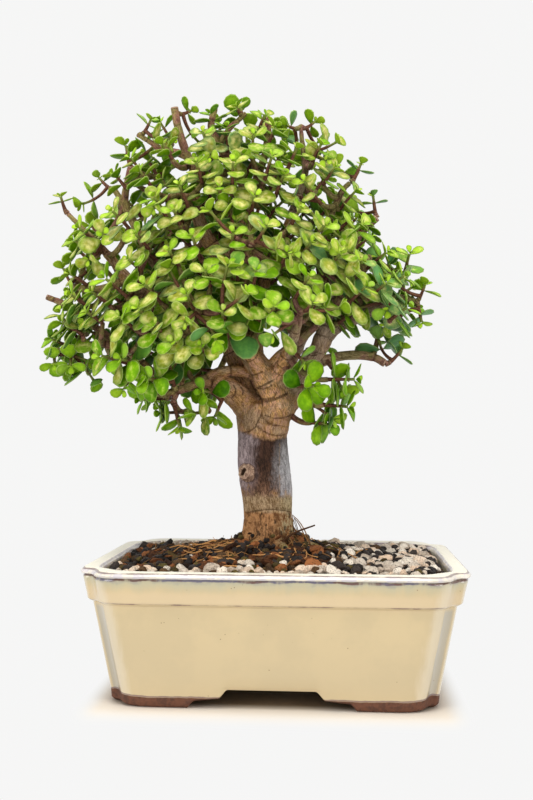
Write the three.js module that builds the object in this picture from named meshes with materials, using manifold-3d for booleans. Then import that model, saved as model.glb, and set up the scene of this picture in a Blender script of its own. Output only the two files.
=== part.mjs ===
// Dwarf jade bonsai in a notched, glazed rectangular pot, in millimetres, +Z up.
// Plan x runs to the right, y away from the front, and z = 0 is the surface that the pot stands on.
import * as THREE from 'three';
import { mergeVertices } from 'three/addons/utils/BufferGeometryUtils.js';
import Module from 'manifold-3d';

const wasm = await Module();
wasm.setup();

// Pot sizes
const POT_WIDTH = 205;
const POT_DEPTH = 157;
const POT_HEIGHT = 70;
const UNDERSIDE_HEIGHT = 9.6;
const FLOOR_TOP = 16;
const CORNER_STEPS = 2;
// Most of a side that the rounding at one of its ends takes up
const ROUNDING_SHARE = 0.45;

// Outline of the pot at each height: [z, half width, half depth, corner x, corner y, notch, rounding].
// A notch of 1 is a full step in the corner, and 0.5 is a straight cut across it.
const POT_OUTSIDE = [
  [0, 85, 66.5, 10.5, 11.5, 0.95, 4],
  [1.6, 86.6, 68.1, 10.5, 11.5, 0.95, 4.5],
  [5.5, 87, 68.5, 10.5, 12, 0.95, 4.5],
  [52.6, 95.8, 74.2, 11.5, 13.5, 0.78, 6],
  [54.4, 98.5, 76.4, 12.5, 14.5, 0.8, 5.5],
  [66.8, 101.6, 77.9, 13, 16, 0.95, 4.5],
  [68.3, 102.5, 78.5, 13.5, 17, 1, 3.5],
  [70, 101.2, 77.2, 13.5, 17, 1, 3.5],
];
const CAVITY_BOTTOM = [FLOOR_TOP, 80, 60, 18, 15, 0.55, 5];
const CAVITY_TOP = [POT_HEIGHT, 93, 68.2, 19, 15, 0.55, 5];

// Feet: the front and side openings between them, as [distance from the middle, height]
const FRONT_OPENING = [[43.5, -1], [43.5, 0], [41.8, 3], [40, 5.4], [27.5, 5.6], [25, 7.6], [22.5, 9.6]];
const SIDE_OPENING = [[30, -1], [30, 0], [28.3, 3], [26.5, 5.4], [19.5, 5.6], [17.5, 7.6], [15.5, 9.6]];
const FOOT_WALL = 12;
// How far a cutting body goes past the face that it cuts
const OVERCUT = 1;

// Drainage
const DRAIN_RADIUS = 9;
const DRAIN_X = 45;
const DRAIN_SIDES = 16;
const SCREEN_SIDE = 34;
const SCREEN_THICKNESS = 1.2;
const SCREEN_MESHES = 2;
const SCREEN_BAR = 3;

// Clearance that two touching pieces keep, and that two which meet at an angle keep between their middles
const GAP = 0.3;
const TILTED_GAP = 0.7;

// Soil: a low mound round the trunk, with lumps and gravel on it
const SOIL_EDGE_HEIGHT = 67.5;
const SOIL_EDGE_DROP = 2;
const SOIL_CLEARANCE = 0.4;
const MOUND_X = -6;
const MOUND_HEIGHT = 11;
const MOUND_SPREAD = [36, 27];
const SOIL_RINGS = [1, 0.92, 0.74, 0.54, 0.36];

// Stones: each lies a further golden share of a turn round. Pebbles lie between two shares of the way
// out to the edge, and lumps in a band round the trunk: [nearest, width], with sizes as [least, spread].
const GOLDEN_SHARE = 0.618034;
const PEBBLE_COUNT = 16;
const PEBBLE_SIZE = [2.8, 1.7];
const PEBBLE_REACH = [84, 59];
const PEBBLE_BAND = [0.9, -0.45];
const PEBBLE_RISE = 0.6;
const LUMP_COUNT = 6;
const LUMP_SIZE = [4, 2];
const LUMP_BAND = [30, 16];
const LUMP_WIDENING = 1.3;
const LUMP_RISE = 0.4;
const LUMP_START = 0.3;
const STONE_STRETCH = [0.75, 0.5];
const STONE_FLATNESS = 0.8;
const STONE_TIP = 0.9;

// Trunk: [x of the middle, z, radius], from the root ball to the crown of the trunk
const TRUNK = [
  [-6, 46, 11], [-6, 62, 14], [-6, 74, 15.8], [-6.2, 80, 15], [-6.3, 86, 14.5], [-6.5, 93, 14.2],
  [-6.8, 101, 14.4], [-7.6, 110, 15], [-8.6, 120, 15.2], [-9.3, 130, 14.8], [-10, 141, 14.5],
  [-9.6, 151, 15.4], [-8.5, 158, 13.5],
];
const TRUNK_SIDES = 12;
const TRUNK_DEPTH_RATIO = 0.94;
const FLUTE_COUNT = 5;
const FLUTE_START = 0.6;
const FLUTE_TWIST = 0.012;
const FLUTE = 0.045;
const ROOT_FLUTE = 0.11;
const ROOT_FLUTE_TOP = 88;

// Levels of the trunk that stand in the soil
const BURIED_LEVELS = 6;

// Surface roots: [direction in degrees, reach from the trunk's middle, root radius]
const ROOTS = [[-8, 33, 3], [38, 29, 2.6], [-62, 30, 2.8], [-118, 28, 2.6], [172, 30, 2.8], [118, 28, 2.4]];
const ROOT_SIDES = 5;
const ROOT_X = -6.2;
// The line that every root follows: its first two distances from the trunk's middle, the share of its
// reach at the third point, the height of all four points, and the radius at each as a share of its own
const ROOT_STARTS = [8, 16];
const ROOT_SHARE = 0.75;
const ROOT_HEIGHTS = [80, 77.5, 76, 73.5];
const ROOT_TAPER = [1.4, 1.2, 1, 0.5];

// Callus round an old pruning cut, low on the left of the trunk
const SCAR_CENTRE = [-18.5, -11, 118];
const SCAR_FACING = [-0.62, -0.78, 0.02];
const SCAR_RADIUS = 6.4;
const SCAR_SIDES = 9;
// Section of the callus: [share of the radius, height above the bark]
const SCAR_PROFILE = [[0, -3], [1, -3], [0.95, 1.2], [0.7, 2], [0.42, 1.3], [0.3, 0.2], [0, 0.2]];

// Limbs as seen from the front: [x, z, depth, radius]. The x and z of a point are those of the upright
// plane through the trunk that it is seen against, and depth is how far behind that plane it really is.
const EYE = [32, -569, 144];
const LIMBS = {
  leftLobe: [
    [-14.5, 144, 2, 9.8], [-15.5, 157, 4, 9.6], [-19, 169, 7, 8.2], [-24, 180, 9, 6.8], [-29, 191, 9, 6.1],
    [-37, 204, 7, 5.7], [-51, 213, 3, 5.4], [-70, 218, -1, 4.9], [-84, 224, -4, 4.3], [-93, 234, -6, 3.8],
    [-100, 243, -8, 3.1], [-109, 253, -9, 2.6], [-118, 262, -10, 2.1], [-127, 271, -11, 1.8],
  ],
  rightLobe: [
    [-5.5, 136, -4, 9], [-5, 143, -5, 10.2], [-3.5, 151, -5, 10.4], [0, 159, -4, 10], [2, 165, -2, 8],
  ],
  middle: [
    [0, 155, -6, 9.6], [-5, 167, -8, 8.7], [-10, 176, -9, 8], [-18, 187, -9, 6.6], [-26, 200, -8, 5.7],
    [-29, 215, -6, 5.4], [-31, 230, -5, 5.5], [-31, 243, -4, 5.8],
  ],
  leftProng: [
    [-31, 240, -4, 5.4], [-42, 253, -6, 4.9], [-48, 266, -7, 4.2], [-50, 280, -6, 3.6], [-51, 294, -5, 3.2],
    [-56, 304, -5, 2.8], [-70, 308, -5, 2.4], [-78, 313, -5, 2.2], [-85, 318, -5, 2],
  ],
  leftProngStub: [[-49, 267, -7, 3], [-54, 274, -10, 2.5], [-59, 281, -13, 2.1]],
  topStub: [[-54, 301, -5, 2.6], [-58, 312, -6, 2.4], [-61, 322, -7, 2.3], [-63, 333, -8, 2.2]],
  rightProng: [
    [-31, 240, -4, 5.2], [-22, 257, -6, 4.6], [-19, 277, -7, 3.8], [-24, 290, -6, 3.2], [-32, 300, -5, 2.9],
    [-35, 311, -5, 2.5], [-29, 321, -5, 2.1], [-20, 329, -5, 1.8],
  ],
  topFork: [[-35, 309, -5, 2.3], [-41, 320, -5, 2.1], [-39, 332, -6, 1.8]],
  topMiddle: [[-19, 275, -7, 2.8], [-14, 290, -4, 2.5], [-9, 305, -2, 2.1], [-7, 326, -2, 1.8]],
  inner: [
    [-18, 186, -4, 5.6], [-14, 205, 2, 5], [-11, 220, 4, 4.6], [-7, 238, 5, 4.2], [1, 253, 5, 3.8],
    [7, 268, 4, 3.4], [12, 284, 3, 3], [15, 298, 2, 2.6], [13, 309, 1, 2.1], [12, 320, 0, 1.8],
  ],
  right: [[0, 151, 0, 7.6], [5, 160, 0, 7.7], [10, 169, 0, 7.3], [15, 179, 1, 6.6], [20, 188, 2, 5.9]],
  rightFront: [
    [20, 185, 1, 4.7], [24, 198, -1, 4.2], [28, 210, -3, 3.9], [30, 220, -4, 3.6], [26, 234, -6, 3.3],
    [23, 247, -7, 3], [28, 261, -7, 2.7], [32, 273, -7, 2.4], [37, 283, -7, 2.1], [41, 287, -8, 1.9],
  ],
  rightBack: [
    [21, 186, 3, 4.9], [28, 197, 5, 4.5], [34, 203, 5, 4.3], [43, 207, 4, 4], [53, 212, 1, 3.5],
    [62, 217, -2, 3], [71, 219, -4, 2.5], [79, 217, -6, 2],
  ],
  rightLow: [[21, 181, 5, 3.5], [33, 185, 7, 2.8], [45, 186, 6, 2.7], [55, 184.5, 5, 2.4], [61, 181, 4, 2.2]],
  rightUp: [[29, 216, -4, 3.2], [34, 232, 0, 2.9], [39, 245, 3, 2.6], [47, 257, 4, 2.4], [56, 266, 4, 2.3]],
  rightBranch: [[44, 207, 4, 2.9], [48, 220, 9, 2.5], [59, 225, 13, 2.2], [70, 230, 16, 1.9]],
  rightTwig: [[30, 211, -4, 2.6], [38, 225, -12, 2.2], [46, 235, -18, 2], [52, 243, -22, 1.8]],
  thinTan: [[-7, 177, -8, 4.2], [0, 185, -10, 3.6], [8, 192, -12, 3], [22, 204, -13, 2.1]],
  leftStub: [[-17, 154, -1, 9], [-25, 162, -5, 7.9], [-32, 167, -8, 6.9], [-40, 171, -11, 5.6]],
  leftLowFront: [[-37, 171, -11, 3.3], [-50, 168.5, -15, 2.8], [-58, 166, -18, 2.4], [-68, 163, -20, 2.2]],
  leftLowTwig: [[-60, 165.5, -19, 1.9], [-63, 159, -20, 1.7]],
  darkArch: [[-15, 175, -4, 3.6], [-26, 177, -8, 3.1], [-37, 175.5, -11, 3.1], [-47, 170, -14, 2.6]],
  leftLowBack: [
    [-17, 163, 7, 6], [-30, 171, 14, 5], [-45, 171, 16, 4.4], [-60, 172, 14, 4], [-75, 176, 10, 3.5],
    [-84, 184, 6, 3.1], [-92, 190, 2, 2.8], [-108, 193, -2, 2.4], [-124, 190, -5, 2], [-137, 189, -8, 1.8],
  ],
  farLeft: [
    [-91, 189, 2, 2.5], [-104, 199, 4, 2.2], [-117, 208, 5, 2], [-127, 216, 4, 1.9], [-139, 221, 3, 1.7],
  ],
  leftSide: [[-91, 231, -6, 2.9], [-103, 226, -2, 2.6], [-113, 225, 2, 2.4], [-122, 227, 5, 2.1]],
  leftUpper: [
    [-50, 212, 3, 4.2], [-63, 228, 8, 3.7], [-75, 242, 9, 3.3], [-85, 261, 9, 2.8], [-92, 276, 8, 2.4],
    [-91, 288, 8, 2], [-89, 298, 8, 1.8],
  ],
  leftUpperStub: [[-90, 271, 8, 2], [-95, 279, 8, 1.8], [-99, 285, 8, 1.7]],
  backLeft: [
    [-16, 160, 8, 7], [-22, 176, 20, 5.6], [-32, 196, 34, 4.8], [-43, 218, 46, 4], [-52, 240, 55, 3.2],
    [-56, 260, 60, 2.5],
  ],
  backRight: [
    [-3, 165, 6, 6.5], [4, 180, 18, 5.4], [14, 200, 31, 4.6], [24, 221, 42, 3.8], [33, 243, 50, 3],
    [36, 260, 54, 2.4],
  ],
  backMiddle: [
    [-14, 183, 11, 5.6], [-15, 205, 24, 4.6], [-16, 230, 34, 4], [-18, 256, 41, 3.3], [-20, 283, 44, 2.5],
  ],
  backFarLeft: [[-38, 208, 41, 3.6], [-60, 218, 50, 2.9], [-82, 226, 52, 2.3]],
  backFarRight: [[16, 204, 33, 3.6], [36, 212, 44, 2.8], [56, 220, 46, 2.2]],
  frontLeft: [[-11, 178, -10, 5], [-22, 192, -25, 4], [-34, 204, -40, 3.4], [-46, 212, -52, 2.6]],
  frontRight: [[-4, 171, -10, 5], [4, 186, -26, 3.8], [9, 200, -40, 3.1], [12, 212, -50, 2.4]],
  frontMiddle: [[-28, 212, -6, 4.4], [-24, 226, -22, 3.4], [-20, 240, -36, 2.8], [-17, 252, -45, 2.2]],
};
// Sides of a limb's section, by its radius at the thick end
const LIMB_SIDES = [[8, 8], [4.2, 6], [2.6, 5], [0, 4]];

// Shoot tips as seen from the front: [x, z, depth]
const TIPS = [
  [-92, 166, -10], [-59, 144, -23], [-38, 150, -20], [-66, 186, -38], [-124, 180, -18], [-134, 181, -16],
  [-118, 203, -20], [-129, 238, 10], [-114, 243, -22], [-131, 281, -14], [-108, 292, 10], [-92, 311, 12],
  [-77, 326, -8], [-53, 331, -1], [-26, 332.5, -8], [4, 321, 4], [20, 323, 9], [33, 311, -8], [47, 298, -8],
  [54, 279, 4], [75, 245, 2], [84, 227, -9], [82, 205, -9], [71, 190, 5], [36, 166, -16], [31, 149, -12],
  [14, 182, -34], [19, 217, -61], [-4, 198, -56], [-20, 223, -66], [-56, 206, -62], [-66, 238, -48],
  [-75, 273, -40], [-42, 272, -50], [-8, 262, -57], [14, 288, -36], [38, 248, -40], [62, 212, -28],
  [-42, 303, -30],
  [-20, 316, 36], [-62, 298, 38], [14, 298, 40], [-98, 262, 44], [-34, 284, 70], [46, 268, 46],
  [-72, 258, 74], [-28, 246, 86], [16, 244, 78], [58, 234, 54], [-100, 222, 54], [-58, 212, 80],
  [-12, 206, 82], [-84, 190, 46], [26, 190, 58],
];
const FIRST_SEED = 100;
const SHOOT_LENGTH = 18;
const FULL_LEAF_SHOOT = 14;
const LEAST_LEAF_SIZE = 0.8;
const BRANCH_RADIUS = 1.5;
const BRANCH_TAPER = [1.3, 0.15];
const SHOOT_RADIUS = 1.2;
const SHOOT_TAPER = 0.3;
// Places along each piece of a limb where a branch may start
const LIMB_SHARES = [0.25, 0.5, 0.75, 1];
// A branch covers at least this much more than the limb's radius, and never over this share of the way
const BRANCH_OUTSIDE_LIMB = 2;
const LONGEST_BRANCH = 0.5;
const HANGING_LIFT = 0.14;
const RISING_LIFT = -0.3;
const BRANCH_SIDES = 3;
const STRAIGHT_BRANCH = 12;

// The crown as seen from the front: [z, left edge, right edge], and [x, lowest z] of its underside
const CROWN_EDGES = [
  [146, -66, 36], [153, -80, 47], [160, -90, 52], [170, -138, 54], [189, -142, 70], [200, -139, 78],
  [215, -141, 86], [227, -138, 82], [240, -134, 74], [256, -131, 62], [270, -132, 55], [288, -112, 45],
  [304, -97, 43], [314, -90, 33], [323, -84, 12], [331, -72, -2], [336, -60, -26],
];
const CROWN_FLOOR = [
  [-142, 180], [-120, 174], [-98, 164], [-84, 150], [-46, 150], [-38, 192], [-28, 204], [12, 208], [30, 204],
  [50, 196], [70, 194], [88, 205],
];
const CROWN_MIDDLE_DEPTH = 4;
const CROWN_DEPTH_RATIO = 0.66;
const OUT_OF_CROWN = 2;

// A shoot forks near its foot. Its second tip lies this far beside the first and this far short of it, on
// the side, out of so many, where there is the most room inside the crown. Limbs count as further off
// than tips, and without enough room there is no fork.
const FORK_PLACE = 0.16;
const FORK_REACH = 19;
const FORK_DROP = 3;
const FORK_BOW = 4;
const FORK_SIDES = 8;
const LIMB_ROOM = 1.6;
const LEAST_ROOM = 11;
const CROWN_SHARE = 0.94;

// Leaf pairs up a stem: [place along the stem, size, spread from the stem in degrees]
const PAIRS = [[0.62, 1, 80], [0.95, 0.7, 62]];
const LEAF_LENGTH = 14.5;
// What chance adds to a shoot's leaves and to a leaf, as [least, spread], and to its spread in degrees
const SHOOT_VARIETY = [0.9, 0.22];
const LEAF_VARIETY = [0.92, 0.16];
const SPREAD_VARIETY = 16;
const TOP_LEAF_SIZE = 0.82;
const SMALLER_FROM = 190;
const SMALLEST_FROM = 280;
const LEAF_WIDTH = 0.8;
const LEAF_RIM = [[0.42, 0.84], [0.8, 0.9]];
const LEAF_THICKNESS = 1.7;
// Middles of the upper and the lower face: [share of the length, share of the thickness]
const UPPER_FACE = [0.58, 0.3];
const LOWER_FACE = [0.5, -0.7];
const LEAF_NECK = 1;
const LEAF_TILTS = [0, 13, -13, 25, -25];
const LEAF_MARGIN = 1.06;
const TRIAL_THICKNESS = 1.5;
const TRIAL_BASE = [1, 0.6];
const LEAST_OVERLAP = 1e-6;
// Detail finer than this is smoothed away
const LEAST_DETAIL = 0.05;

// Colours: [colour, roughness]
const FINISHES = {
  glaze: [0xe6dcb8, 0.2],
  mesh: [0x2b2b2b, 0.6],
  soil: [0x4a3526, 0.95],
  bark: [0x7d6148, 0.85],
  leaf: [0x6f9c2e, 0.45],
};

// Repeatable draw of numbers between 0 and 1
function dice(seed) {
  let state = seed >>> 0;
  return () => {
    state = (Math.imul(1664525, state) + 1013904223) >>> 0;
    return state / 4294967296;
  };
}

// Value that a share between 0 and 1 picks out of [least, spread]
const between = ([least, spread], share) => least + spread * share;

const vec = (x, y, z) => new THREE.Vector3(x, y, z);

// Real place of a point that is seen from the front at x, z
function seen(x, z, depth) {
  const reach = (depth - EYE[1]) / -EYE[1];
  return vec(EYE[0] + (x - EYE[0]) * reach, depth, EYE[2] + (z - EYE[2]) * reach);
}

function solidFrom(geometry) {
  geometry.deleteAttribute('normal');
  geometry.deleteAttribute('uv');
  const merged = mergeVertices(geometry, 1e-4);
  return new wasm.Manifold(new wasm.Mesh({
    numProp: 3,
    vertProperties: new Float32Array(merged.attributes.position.array),
    triVerts: new Uint32Array(merged.index.array),
  }));
}

// Geometry of a solid, without the slivers that joining its bodies leaves
function geometryFrom(solid) {
  const mesh = solid.simplify(LEAST_DETAIL).getMesh();
  const geometry = new THREE.BufferGeometry();
  geometry.setAttribute('position', new THREE.BufferAttribute(new Float32Array(mesh.vertProperties), 3));
  geometry.setIndex(new THREE.BufferAttribute(new Uint32Array(mesh.triVerts), 1));
  geometry.computeVertexNormals();
  return geometry;
}

// Closed geometry from points and triangles
function meshed(points, triangles) {
  const geometry = new THREE.BufferGeometry();
  const numbers = points.flatMap((point) => point.toArray());
  geometry.setAttribute('position', new THREE.Float32BufferAttribute(numbers, 3));
  geometry.setIndex(triangles.flat());
  return geometry;
}

// Closed body through rings with equal numbers of points, each ring running anticlockwise seen from the
// end it leads to, with a fan of triangles over each end
function loft(rings, start, end) {
  const sides = rings[0].length;
  const points = [start, ...rings.flat(), end];
  const last = points.length - 1;
  const triangles = [];
  for (let side = 0; side < sides; side += 1) {
    const next = (side + 1) % sides;
    triangles.push([0, 1 + next, 1 + side]);
    for (let ring = 0; ring < rings.length - 1; ring += 1) {
      const low = 1 + ring * sides;
      const high = low + sides;
      triangles.push([low + side, low + next, high + next], [low + side, high + next, high + side]);
    }
    const top = 1 + (rings.length - 1) * sides;
    triangles.push([last, top + side, top + next]);
  }
  return solidFrom(meshed(points, triangles));
}

// Tapered round body through points, with a radius at each
function tube(points, radii, sides) {
  const rings = [];
  let across = null;
  points.forEach((point, i) => {
    const before = points[Math.max(i - 1, 0)];
    const after = points[Math.min(i + 1, points.length - 1)];
    const along = after.clone().sub(before).normalize();
    if (!across) {
      across = Math.abs(along.z) < 0.9 ? vec(0, 0, 1) : vec(1, 0, 0);
    }
    across = across.clone().addScaledVector(along, -across.dot(along)).normalize();
    const side = along.clone().cross(across);
    const ring = [];
    for (let k = 0; k < sides; k += 1) {
      const angle = (2 * Math.PI * k) / sides;
      ring.push(point.clone()
        .addScaledVector(across, radii[i] * Math.cos(angle))
        .addScaledVector(side, radii[i] * Math.sin(angle)));
    }
    rings.push(ring);
  });
  return loft(rings, points[0], points[points.length - 1]);
}

// Corner of an outline rounded off between two neighbours
function roundedCorner(before, corner, after, rounding) {
  const reach = (other) => Math.min(rounding / corner.distanceTo(other), ROUNDING_SHARE);
  const from = corner.clone().lerp(before, reach(before));
  const to = corner.clone().lerp(after, reach(after));
  return new THREE.QuadraticBezierCurve3(from, corner, to).getPoints(CORNER_STEPS);
}

// Pot outline at one height, running anticlockwise seen from above
function potOutline([z, halfWidth, halfDepth, cornerX, cornerY, notch, rounding], inset = 0) {
  const width = halfWidth - inset;
  const depth = halfDepth - inset;
  const corners = [];
  for (const [signX, signY] of [[1, -1], [1, 1], [-1, 1], [-1, -1]]) {
    const onFront = vec(signX * (width - cornerX), signY * depth, z);
    const inNotch = vec(signX * (width - cornerX * notch), signY * (depth - cornerY * notch), z);
    const onSide = vec(signX * width, signY * (depth - cornerY), z);
    corners.push(...(signX * signY < 0 ? [onFront, inNotch, onSide] : [onSide, inNotch, onFront]));
  }
  return corners.flatMap((corner, i) => {
    const before = corners[(i + corners.length - 1) % corners.length];
    const after = corners[(i + 1) % corners.length];
    return roundedCorner(before, corner, after, rounding);
  });
}

function cavityLevel(z) {
  const share = (z - CAVITY_BOTTOM[0]) / (CAVITY_TOP[0] - CAVITY_BOTTOM[0]);
  return CAVITY_BOTTOM.map((value, i) => value + (CAVITY_TOP[i] - value) * share);
}

function prism(shape, depth) {
  return new THREE.ExtrudeGeometry(shape, { depth, bevelEnabled: false, curveSegments: 8 });
}

function box(width, depth, height, x, y, z) {
  return solidFrom(new THREE.BoxGeometry(width, depth, height).translate(x, y, z));
}

// Opening between two feet, cut right through from front to back or from side to side
function footOpening(profile, throughSide) {
  const mirrored = profile.map(([x, z]) => [-x, z]).reverse();
  const shape = new THREE.Shape([...profile, ...mirrored].map(([x, z]) => new THREE.Vector2(x, z)));
  const geometry = prism(shape, 2 * POT_WIDTH).translate(0, 0, -POT_WIDTH).rotateX(Math.PI / 2);
  if (throughSide) {
    geometry.rotateZ(Math.PI / 2);
  }
  return solidFrom(geometry);
}

function makePot() {
  const rings = POT_OUTSIDE.map((level) => potOutline(level));
  let pot = loft(rings, vec(0, 0, 0), vec(0, 0, POT_HEIGHT));
  const mouth = POT_HEIGHT + OVERCUT;
  const cavity = [FLOOR_TOP, mouth].map((z) => potOutline(cavityLevel(z)));
  pot = pot.subtract(loft(cavity, vec(0, 0, FLOOR_TOP), vec(0, 0, mouth)));
  const foot = POT_OUTSIDE[0];
  const recess = [-OVERCUT, UNDERSIDE_HEIGHT].map((z) => potOutline([z, ...foot.slice(1)], FOOT_WALL));
  pot = pot.subtract(loft(recess, vec(0, 0, -OVERCUT), vec(0, 0, UNDERSIDE_HEIGHT)));
  pot = pot.subtract(footOpening(FRONT_OPENING, false));
  pot = pot.subtract(footOpening(SIDE_OPENING, true));
  for (const x of [-DRAIN_X, DRAIN_X]) {
    const hole = new THREE.CylinderGeometry(DRAIN_RADIUS, DRAIN_RADIUS, FLOOR_TOP, DRAIN_SIDES);
    pot = pot.subtract(solidFrom(hole.rotateX(Math.PI / 2).translate(x, 0, FLOOR_TOP / 2 + OVERCUT)));
  }
  return pot;
}

// Square of coarse mesh that keeps the soil in over a drainage hole
function makeScreen(x) {
  const z = FLOOR_TOP + GAP + SCREEN_THICKNESS / 2;
  const pitch = (SCREEN_SIDE - SCREEN_BAR) / SCREEN_MESHES;
  const opening = pitch - SCREEN_BAR;
  let screen = box(SCREEN_SIDE, SCREEN_SIDE, SCREEN_THICKNESS, x, 0, z);
  for (let row = 0; row < SCREEN_MESHES; row += 1) {
    for (let column = 0; column < SCREEN_MESHES; column += 1) {
      const middleX = x + (column - (SCREEN_MESHES - 1) / 2) * pitch;
      const middleY = (row - (SCREEN_MESHES - 1) / 2) * pitch;
      screen = screen.subtract(box(opening, opening, 3 * SCREEN_THICKNESS, middleX, middleY, z));
    }
  }
  return screen;
}

// Trunk outline at one of its levels: a rounded section with shallow flutes, deeper in the root flare
function trunkRing([x, z, radius], extra) {
  const ring = [];
  const flute = z < ROOT_FLUTE_TOP ? ROOT_FLUTE : FLUTE;
  for (let k = 0; k < TRUNK_SIDES; k += 1) {
    const angle = (2 * Math.PI * k) / TRUNK_SIDES;
    const wave = Math.cos(FLUTE_COUNT * angle + FLUTE_START + z * FLUTE_TWIST);
    const reach = radius * (1 + flute * wave) + extra;
    ring.push(vec(x + reach * Math.cos(angle), TRUNK_DEPTH_RATIO * reach * Math.sin(angle), z));
  }
  return ring;
}

function trunkBody(extra, levels) {
  const rings = levels.map((level) => trunkRing(level, extra));
  const low = levels[0];
  const high = levels[levels.length - 1];
  return loft(rings, vec(low[0], 0, low[1]), vec(high[0], 0, high[1]));
}

function rootBodies(extra) {
  return ROOTS.map(([degrees, reach, radius]) => {
    const angle = THREE.MathUtils.degToRad(degrees);
    const points = [...ROOT_STARTS, reach * ROOT_SHARE, reach + extra].map((distance, i) => (
      vec(ROOT_X + distance * Math.cos(angle), distance * Math.sin(angle), ROOT_HEIGHTS[i])));
    return tube(points, ROOT_TAPER.map((share) => radius * share + extra), ROOT_SIDES);
  });
}

function soilHeight(x, y) {
  const mound = Math.exp(-(((x - MOUND_X) / MOUND_SPREAD[0]) ** 2 + (y / MOUND_SPREAD[1]) ** 2) / 2);
  const waves = 0.9 * Math.sin(x * 0.13 + 1.3) * Math.cos(y * 0.17) + 0.5 * Math.sin(x * 0.31 + y * 0.23);
  return SOIL_EDGE_HEIGHT + MOUND_HEIGHT * mound + waves;
}

// Angular stone or lump: a squashed octahedron with its points moved by chance
function stone(x, y, z, size, roll) {
  const octahedron = new THREE.OctahedronGeometry(size).deleteAttribute('normal').deleteAttribute('uv');
  const geometry = mergeVertices(octahedron);
  const place = geometry.attributes.position;
  for (let i = 0; i < place.count; i += 1) {
    const stretch = between(STONE_STRETCH, roll());
    const flat = stretch * STONE_FLATNESS;
    place.setXYZ(i, place.getX(i) * stretch, place.getY(i) * stretch, place.getZ(i) * flat);
  }
  geometry.rotateZ(2 * Math.PI * roll()).rotateX(STONE_TIP * roll()).translate(x, y, z);
  return solidFrom(geometry);
}

function gravel() {
  const roll = dice(71);
  const stones = [];
  for (let i = 0; i < PEBBLE_COUNT; i += 1) {
    const turn = 2 * Math.PI * ((i * GOLDEN_SHARE) % 1);
    const reach = between(PEBBLE_BAND, roll() ** 2);
    const x = PEBBLE_REACH[0] * reach * Math.cos(turn);
    const y = PEBBLE_REACH[1] * reach * Math.sin(turn);
    stones.push(stone(x, y, soilHeight(x, y) + PEBBLE_RISE, between(PEBBLE_SIZE, roll()), roll));
  }
  for (let i = 0; i < LUMP_COUNT; i += 1) {
    const turn = 2 * Math.PI * ((i * GOLDEN_SHARE + LUMP_START) % 1);
    const reach = between(LUMP_BAND, roll());
    const x = MOUND_X + LUMP_WIDENING * reach * Math.cos(turn);
    const y = reach * Math.sin(turn);
    stones.push(stone(x, y, soilHeight(x, y) + LUMP_RISE, between(LUMP_SIZE, roll()), roll));
  }
  return stones;
}

function makeSoil() {
  const edgeHeight = SOIL_EDGE_HEIGHT - SOIL_EDGE_DROP;
  const [bed, edge] = [FLOOR_TOP + GAP, edgeHeight].map((z) => potOutline(cavityLevel(z), SOIL_CLEARANCE));
  const surface = SOIL_RINGS.map((share) => edge.map((p) => {
    const x = p.x * share;
    const y = p.y * share;
    return vec(x, y, share === 1 ? edgeHeight : soilHeight(x, y));
  }));
  let soil = loft([bed, ...surface], vec(0, 0, FLOOR_TOP + GAP), vec(0, 0, soilHeight(0, 0)));
  soil = wasm.Manifold.union([soil, ...gravel()]);
  const [[x, z, radius], ...upper] = TRUNK.slice(0, BURIED_LEVELS);
  soil = soil.subtract(trunkBody(SOIL_CLEARANCE, [[x, z - GAP, radius], ...upper]));
  for (const root of rootBodies(SOIL_CLEARANCE)) {
    soil = soil.subtract(root);
  }
  for (const x of [-DRAIN_X, DRAIN_X]) {
    const side = SCREEN_SIDE + 2 * GAP;
    soil = soil.subtract(box(side, side, 2 * (SCREEN_THICKNESS + GAP), x, 0, FLOOR_TOP + GAP));
  }
  return soil.decompose().sort((a, b) => b.volume() - a.volume())[0];
}

// Ring of callus with a hollow in the middle
function makeScar() {
  const points = SCAR_PROFILE.map(([share, height]) => new THREE.Vector2(share * SCAR_RADIUS, height));
  const geometry = new THREE.LatheGeometry(points, SCAR_SIDES).rotateX(Math.PI / 2);
  const turn = new THREE.Quaternion().setFromUnitVectors(vec(0, 0, 1), vec(...SCAR_FACING).normalize());
  geometry.applyQuaternion(turn).translate(...SCAR_CENTRE);
  return solidFrom(geometry);
}

const limbPaths = Object.values(LIMBS).map((limb) => ({
  points: limb.map(([x, z, depth]) => seen(x, z, depth)),
  radii: limb.map((point) => point[3]),
}));

// Nearest point on the limbs to a shoot's tip, not counting the thick lower trunk
function nearestOnLimbs(tip) {
  let best = null;
  for (const { points, radii } of limbPaths) {
    for (let i = 1; i < points.length; i += 1) {
      for (const share of LIMB_SHARES) {
        const point = points[i - 1].clone().lerp(points[i], share);
        const distance = point.distanceTo(tip);
        if (!best || distance < best.distance) {
          best = { point, distance, radius: radii[i - 1] + (radii[i] - radii[i - 1]) * share };
        }
      }
    }
  }
  return best;
}

// Way from the limb to a tip: the woody branch first, and the leafy shoot as its last stretch. It turns
// up at its end where the tip is above the limb.
function shootPath(tip) {
  const { point, distance, radius } = nearestOnLimbs(tip);
  const lift = tip.z > point.z ? RISING_LIFT : HANGING_LIFT;
  const bend = point.clone().lerp(tip, 0.5).add(vec(0, 0, lift * distance));
  const curve = new THREE.QuadraticBezierCurve3(point, bend, tip);
  const outside = Math.min(LONGEST_BRANCH, (radius + BRANCH_OUTSIDE_LIMB) / distance);
  const split = Math.max(1 - SHOOT_LENGTH / distance, outside);
  const base = curve.getPoint(split);
  const middle = curve.getPoint((1 + split) / 2);
  return { start: point, bend: curve.getPoint(split / 2), base, middle, tip };
}

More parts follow.
